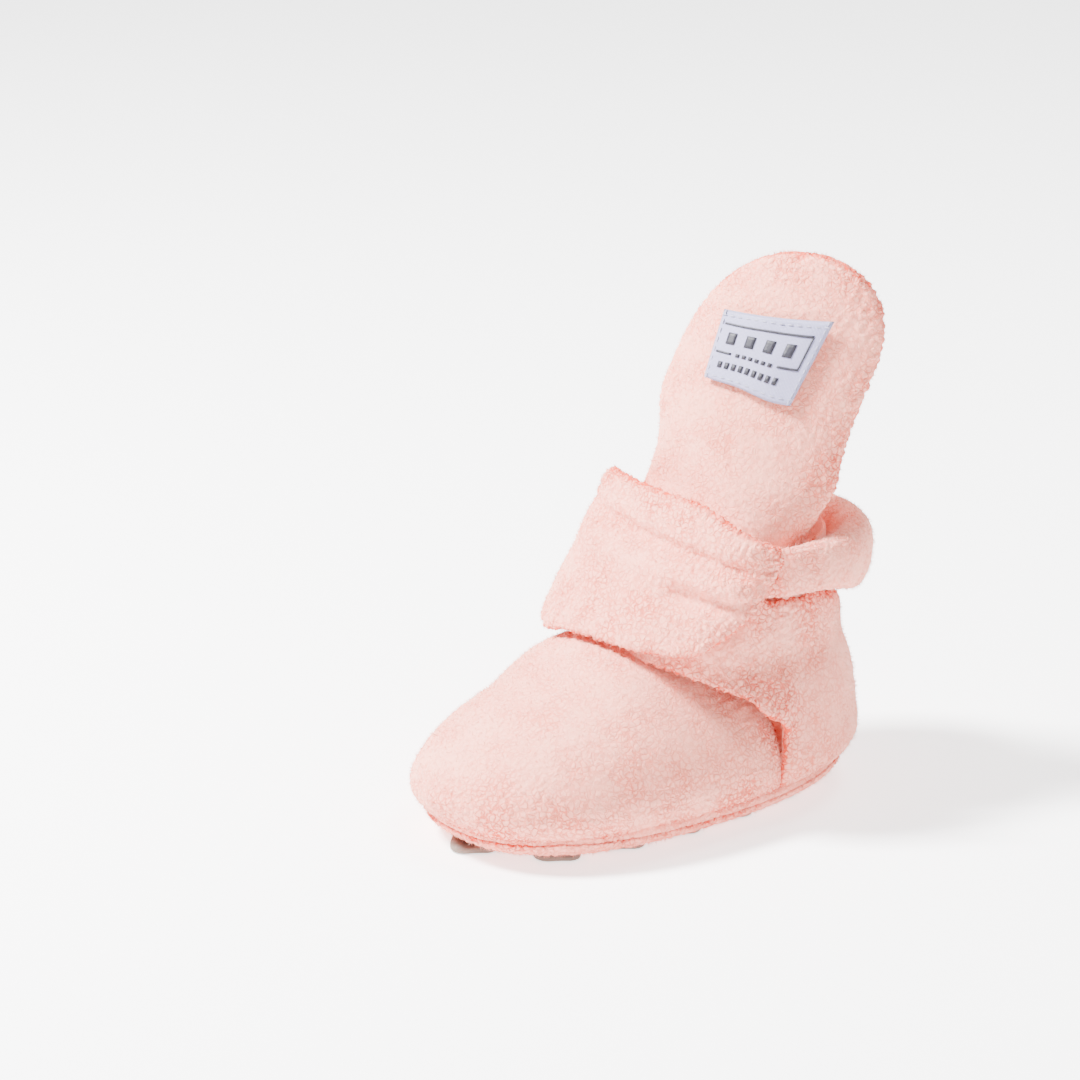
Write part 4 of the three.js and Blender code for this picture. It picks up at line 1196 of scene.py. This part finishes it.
def arc(cx, cy, radius, start, end, count=9):
    a = np.linspace(start, end, count) * np.pi
    return np.stack([cx + radius * np.cos(a), cy + radius * np.sin(a)], axis=1)


cloud = np.concatenate(
    [
        [(-4.1, 4.0), (-2.0, 4.05), (0.0, 4.05), (2.0, 4.05), (4.1, 4.0)], arc(3.9, 1.4, 2.6, 0.40, -0.36),
        arc(0.5, -2.2, 3.4, -0.08, -0.82, 11), arc(-3.8, 1.2, 2.8, -0.62, -1.43),
    ]
)


def smooth_ring(ring, times=2):
    for _ in range(times):
        ring = 0.5 * ring + 0.25 * (np.roll(ring, 1, axis=0) + np.roll(ring, -1, axis=0))
    return ring


cloud = smooth_ring(cloud)
cloud_middle = np.array([0.2, 0.6])


def grip_mesh(number, centre):
    """One grip: rings from its foot on the cloth, round its edge and in over its face."""
    shift = np.random.default_rng(number)
    reach = cloud - cloud_middle
    length = np.linalg.norm(reach, axis=1, keepdims=True)
    unit = reach / length
    levels = [(0.0, GRIP_TOP), (0.0, GRIP_ROUND + 0.12)]
    for angle in np.radians((22, 45, 68, 90)):
        levels.append((GRIP_ROUND * (1 - math.cos(angle)), GRIP_ROUND * (1 - math.sin(angle)) + 0.12))
    points, faces = [], []
    count = len(cloud)
    for inward, z in levels:
        flat = cloud - unit * inward
        points += [(*p, z) for p in flat]
    for share in (0.72, 0.45, 0.2):
        wave = 0.07 * np.sin(
            reach[:, 0] * 1.3 + shift.uniform(0, 6)
        ) * np.sin(reach[:, 1] * 1.7 + shift.uniform(0, 6))
        flat = cloud_middle + (reach - unit * GRIP_ROUND) * share
        points += [(x, y, 0.12 - 0.1 * (1 - share) + w * share) for (x, y), w in zip(flat, wave)]
    rings = len(levels) + 3
    for r in range(rings - 1):
        for k in range(count):
            a, b = r * count + k, r * count + (k + 1) % count
            faces.append((a, b, b + count, a + count))
    faces.append(tuple(range((rings - 1) * count, rings * count)))
    faces.append(tuple(range(count))[::-1])
    points = np.array(points)
    points[:, 2] = np.maximum(points[:, 2], 0.0)
    points[:, :2] += centre
    return points, faces


GRIP_NODES = [f"grip_cloud_{number:02d}" for number in range(1, 19)]
OUTLINE_MIDDLE = np.array([-0.05, -0.8])  # the middle of the cloud's own box
grip_points, grip_faces = [], []
for number, node in enumerate(GRIP_NODES, 1):
    low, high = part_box(node)
    centre = (np.array(low) + np.array(high))[:2] / 2 / MM - OUTLINE_MIDDLE
    points, faces = grip_mesh(number, centre)
    base = len(grip_points)
    grip_points += list(points)
    grip_faces += [tuple(i + base for i in f) for f in faces]
grips = mesh_object("silicone_grips", grip_points, grip_faces)
grips.data.materials.append(silicone)
settle(grips, "bootie", "silicone_grip", *GRIP_NODES)
print("grips", len(grip_faces), "faces")

# %% [markdown]
# ## Label
# A satin label is woven on a narrow loom, cut, folded under and stitched to the flap. It bends with the
# flap. Its marks here are plain bars and squares in a thin frame, so it says nothing.

# %% Label
LABEL_LOW, LABEL_HIGH, LABEL_WIDTH, LABEL_SHIFT = 93.5, 110.0, 26.5, 1.0
LABEL_RISE = 1.25


def label_form(u, v, out):
    narrow = 1 - 0.15 * (1 - v)
    sideways = LABEL_SHIFT + (u - 0.5) * LABEL_WIDTH * narrow
    side = sideways / np.where(sideways > 0, TONGUE_NEAR, TONGUE_FAR)
    slant = (2.6 * (1 - u) - 1.6 * u) * (1 - v) + 0.3 * np.sin((u - 0.2) * 8) * (1 - v)
    return tongue(side, LABEL_LOW + (LABEL_HIGH - LABEL_LOW) * v + slant, out + LABEL_RISE)


label = panel(
    "label_satin", label_form, np.linspace(0, 1, 41), np.linspace(0, 1, 27), 0.45, 0.0, roll=0.35,
    swell=0.0, folds=lambda u, v, near: 0.12 * np.sin(u * 11 + 1) * np.sin(v * 5) * np.clip(near, 0, 1),
)
co = np.array([v.co for v in label.data.vertices]) / MM
weave_uv = label.data.uv_layers.new(name="weave_mm")
loops = np.array([l.vertex_index for l in label.data.loops])
across_axis = np.array([math.cos(TONGUE_TWIST), math.sin(TONGUE_TWIST), 0])
flat_uv = np.stack([co @ across_axis, co[:, 2] / math.cos(LEAN)], axis=1)[loops]
weave_uv.data.foreach_set("uv", flat_uv.astype(np.float32).ravel())
label.data.materials.append(satin)
settle(label, "tongue_flap", "woven_label", "label")


def label_marks(name, boxes, rise=0.5, thick=0.12):
    """Raised satin-stitch marks on the label, each a box of (u0, v0, u1, v1) on it, slanted by a lean."""
    points, faces = [], []
    for u0, v0, u1, v1, lean in boxes:
        columns = max(2, int((u1 - u0) * 40) + 1)
        rows = max(2, int((v1 - v0) * 26) + 1)
        u, v = np.meshgrid(np.linspace(u0, u1, columns), np.linspace(v0, v1, rows))
        u = u + lean * (v - v0)
        base = len(points)
        wave = 0.12 * np.sin(u * 11 + 1) * np.sin(v * 5)
        top = label_form(u, v, rise + thick + wave).reshape(-1, 3)
        under = label_form(u, v, rise - 0.25 + wave).reshape(-1, 3)
        points += list(top) + list(under)
        n = rows * columns
        faces += grid_faces(columns, rows, base) + grid_faces(columns, rows, base + n, flip=True)
        rim = (
            [i for i in range(columns)] + [j * columns + columns - 1 for j in range(1, rows)] + [
                (rows - 1) * columns + i for i in range(columns - 2, -1, -1)
            ] + [j * columns for j in range(rows - 2, 0, -1)]
        )
        for k, a in enumerate(rim):
            b = rim[(k + 1) % len(rim)]
            faces.append((base + a, base + n + a, base + n + b, base + b))
    marks = mesh_object(name, np.array(points), faces)
    marks.data.materials.append(black_thread)
    settle(marks, "tongue_flap", "woven_label")
    return marks


LINE = 0.016
frame_boxes = [
    (0.06, 0.80, 0.90, 0.80 + LINE * 1.6, 0), (0.89, 0.40, 0.89 + LINE, 0.80, 0),
    (0.70, 0.40, 0.90, 0.40 + LINE * 1.6, 0), (0.06, 0.40, 0.22, 0.40 + LINE * 1.6, 0),
]
block_boxes = [(0.13 + k * 0.19, 0.54, 0.22 + k * 0.19, 0.70, 0.0) for k in range(4)]
dash_boxes = [(0.27 + k * 0.068, 0.385, 0.31 + k * 0.068, 0.43, 0.0) for k in range(6)]
low_boxes = [(0.12 + k * 0.075, 0.20, 0.165 + k * 0.075, 0.285, 0.0) for k in range(9)]
label_marks("label_marks", frame_boxes + block_boxes + dash_boxes + low_boxes)
print("label marks", len(frame_boxes + block_boxes + dash_boxes + low_boxes))

# %% [markdown]
# ## Stitches
# The label is sewn down with a running stitch close to its edge. Each stitch is a small bead of thread, and
# Geometry Nodes set one out every two millimetres along a curve.

# %% The stitch tree
stitch_tree, start = tree_with(
    "running_stitch",
    {
        "Pitch": ("NodeSocketFloat", 2.0 * MM), "Length": ("NodeSocketFloat", 1.3 * MM),
        "Thickness": ("NodeSocketFloat", 0.34 * MM), "Material": ("NodeSocketMaterial", None),
    },
)
line = add_node(stitch_tree, "GeometryNodeMeshToCurve", links={"Mesh": (start, "Geometry")})
spots = add_node(
    stitch_tree, "GeometryNodeCurveToPoints", links={"Curve": (line, 0), "Length": (start, "Pitch")},
    mode="LENGTH",
)
bead = add_node(stitch_tree, "GeometryNodeMeshUVSphere", {"Segments": 8, "Rings": 6, "Radius": 0.5})
size = add_node(
    stitch_tree, "ShaderNodeCombineXYZ",
    links={"X": (start, "Thickness"), "Y": (start, "Thickness"), "Z": (start, "Length")},
)
sewn = add_node(
    stitch_tree, "GeometryNodeInstanceOnPoints",
    links={
        "Points": (spots, 0), "Instance": (bead, 0), "Rotation": (spots, "Rotation"), "Scale": (size, 0),
    },
)
close_tree(stitch_tree, start, (sewn, 0))


def stitch_line(name, paths, body, finish, slot, pitch=2.0, length=1.3, thickness=0.34):
    """Stitches along one or more lines of millimetre points."""
    mesh = bpy.data.meshes.new(name)
    points, edges = [], []
    for path in paths:
        base = len(points)
        points += [tuple(p * MM) for p in path]
        edges += [(base + k, base + k + 1) for k in range(len(path) - 1)]
    mesh.from_pydata(points, edges, [])
    piece = bpy.data.objects.new(name, mesh)
    bpy.context.collection.objects.link(piece)
    run_tree(
        piece, stitch_tree,
        **{"Pitch": pitch * MM, "Length": length * MM, "Thickness": thickness * MM, "Material": finish},
    )
    settle(piece, body, slot)
    print(name, len(piece.data.polygons), "faces")
    return piece


LABEL_STITCH_RISE = 0.55
t = np.linspace(0.03, 0.97, 60)
one = np.ones_like(t)
label_edges = [
    label_form(t, 0.93 * one, LABEL_STITCH_RISE * one), label_form(t, 0.07 * one, LABEL_STITCH_RISE * one),
    label_form(0.965 * one, t, LABEL_STITCH_RISE * one),
    label_form(0.035 * one, t, LABEL_STITCH_RISE * one),
]
stitch_line("label_stitches", label_edges, "tongue_flap", white_thread, "woven_label")

# %% [markdown]
# ## Pile
# Loose fibres stand out of the fleece all over and soften its outline. Each is a tiny spike. They are
# scattered evenly by Geometry Nodes with a fixed seed and tilted at random.

# %% The pile tree
pile_tree, start = tree_with(
    "pile_fibres",
    {
        "Density": ("NodeSocketFloat", 1.4e6), "Fibre length": ("NodeSocketFloat", 1.0 * MM),
        "Fibre width": ("NodeSocketFloat", 0.13 * MM), "Seed": ("NodeSocketInt", 7),
        "Material": ("NodeSocketMaterial", None),
    },
)
scatter = add_node(
    pile_tree, "GeometryNodeDistributePointsOnFaces",
    links={"Mesh": (start, "Geometry"), "Density": (start, "Density"), "Seed": (start, "Seed")},
)
spike = add_node(
    pile_tree, "GeometryNodeMeshCone",
    {"Vertices": 3, "Radius Top": 0.0, "Radius Bottom": 0.5, "Depth": 1.0},
)
tilt = add_node(
    pile_tree, "FunctionNodeRandomValue", {"Min": (-0.75, -0.75, -3.1), "Max": (0.75, 0.75, 3.1)},
    links={"Seed": (start, "Seed")}, data_type="FLOAT_VECTOR",
)
turned = add_node(
    pile_tree, "FunctionNodeRotateEuler", links={"Rotation": (scatter, "Rotation"), "Rotate By": (tilt, 0)},
    rotation_type="EULER", space="LOCAL",
)
fibre_size = add_node(
    pile_tree, "ShaderNodeCombineXYZ",
    links={"X": (start, "Fibre width"), "Y": (start, "Fibre width"), "Z": (start, "Fibre length")},
)
vary = add_node(
    pile_tree, "FunctionNodeRandomValue", {2: 0.55, 3: 1.15}, links={"Seed": (start, "Seed")},
    data_type="FLOAT",
)
sized = add_node(
    pile_tree, "ShaderNodeVectorMath", links={0: (fibre_size, 0), "Scale": (vary, 1)}, operation="SCALE"
)
planted = add_node(
    pile_tree, "GeometryNodeInstanceOnPoints",
    links={"Points": (scatter, 0), "Instance": (spike, 0), "Rotation": (turned, 0), "Scale": (sized, 0)},
)
close_tree(pile_tree, start, (planted, 0))

# %% Pile on every fleece panel
FIBRE_AREA = 1.0e-6 / 1.1


def add_pile(name, cloth, finish, slot, seed, body=None, bend=None):
    """Fibres on a finished panel, put on the body they are given; with bend, their placement is baked into
    their points.
    """
    piece = bpy.data.objects.new(name, cloth.data.copy())
    bpy.context.collection.objects.link(piece)
    run_tree(piece, pile_tree, **{"Density": 1 / FIBRE_AREA, "Seed": seed, "Material": finish})
    if bend:
        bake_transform(piece)
    settle(piece, body, slot)
    print(name, len(piece.data.polygons), "faces")
    return piece


add_pile("sole_pile", outsole, sole_fleece, "sole_fleece", 3, body="bootie")
add_pile("toe_box_pile", vamp, fleece, "fleece", 5, body="bootie")
add_pile("heel_panel_pile", quarter, fleece, "fleece", 7, body="bootie")
add_pile("collar_pile", collar, fleece, "fleece", 11, body="bootie")
add_pile("strap_pile", strap, fleece, "fleece", 13, bend=("bootie", "strap", *strap_bend))
add_pile("tongue_pile", tongue_piece, fleece, "fleece", 17, bend=("bootie", "tongue_flap", *tongue_bend))
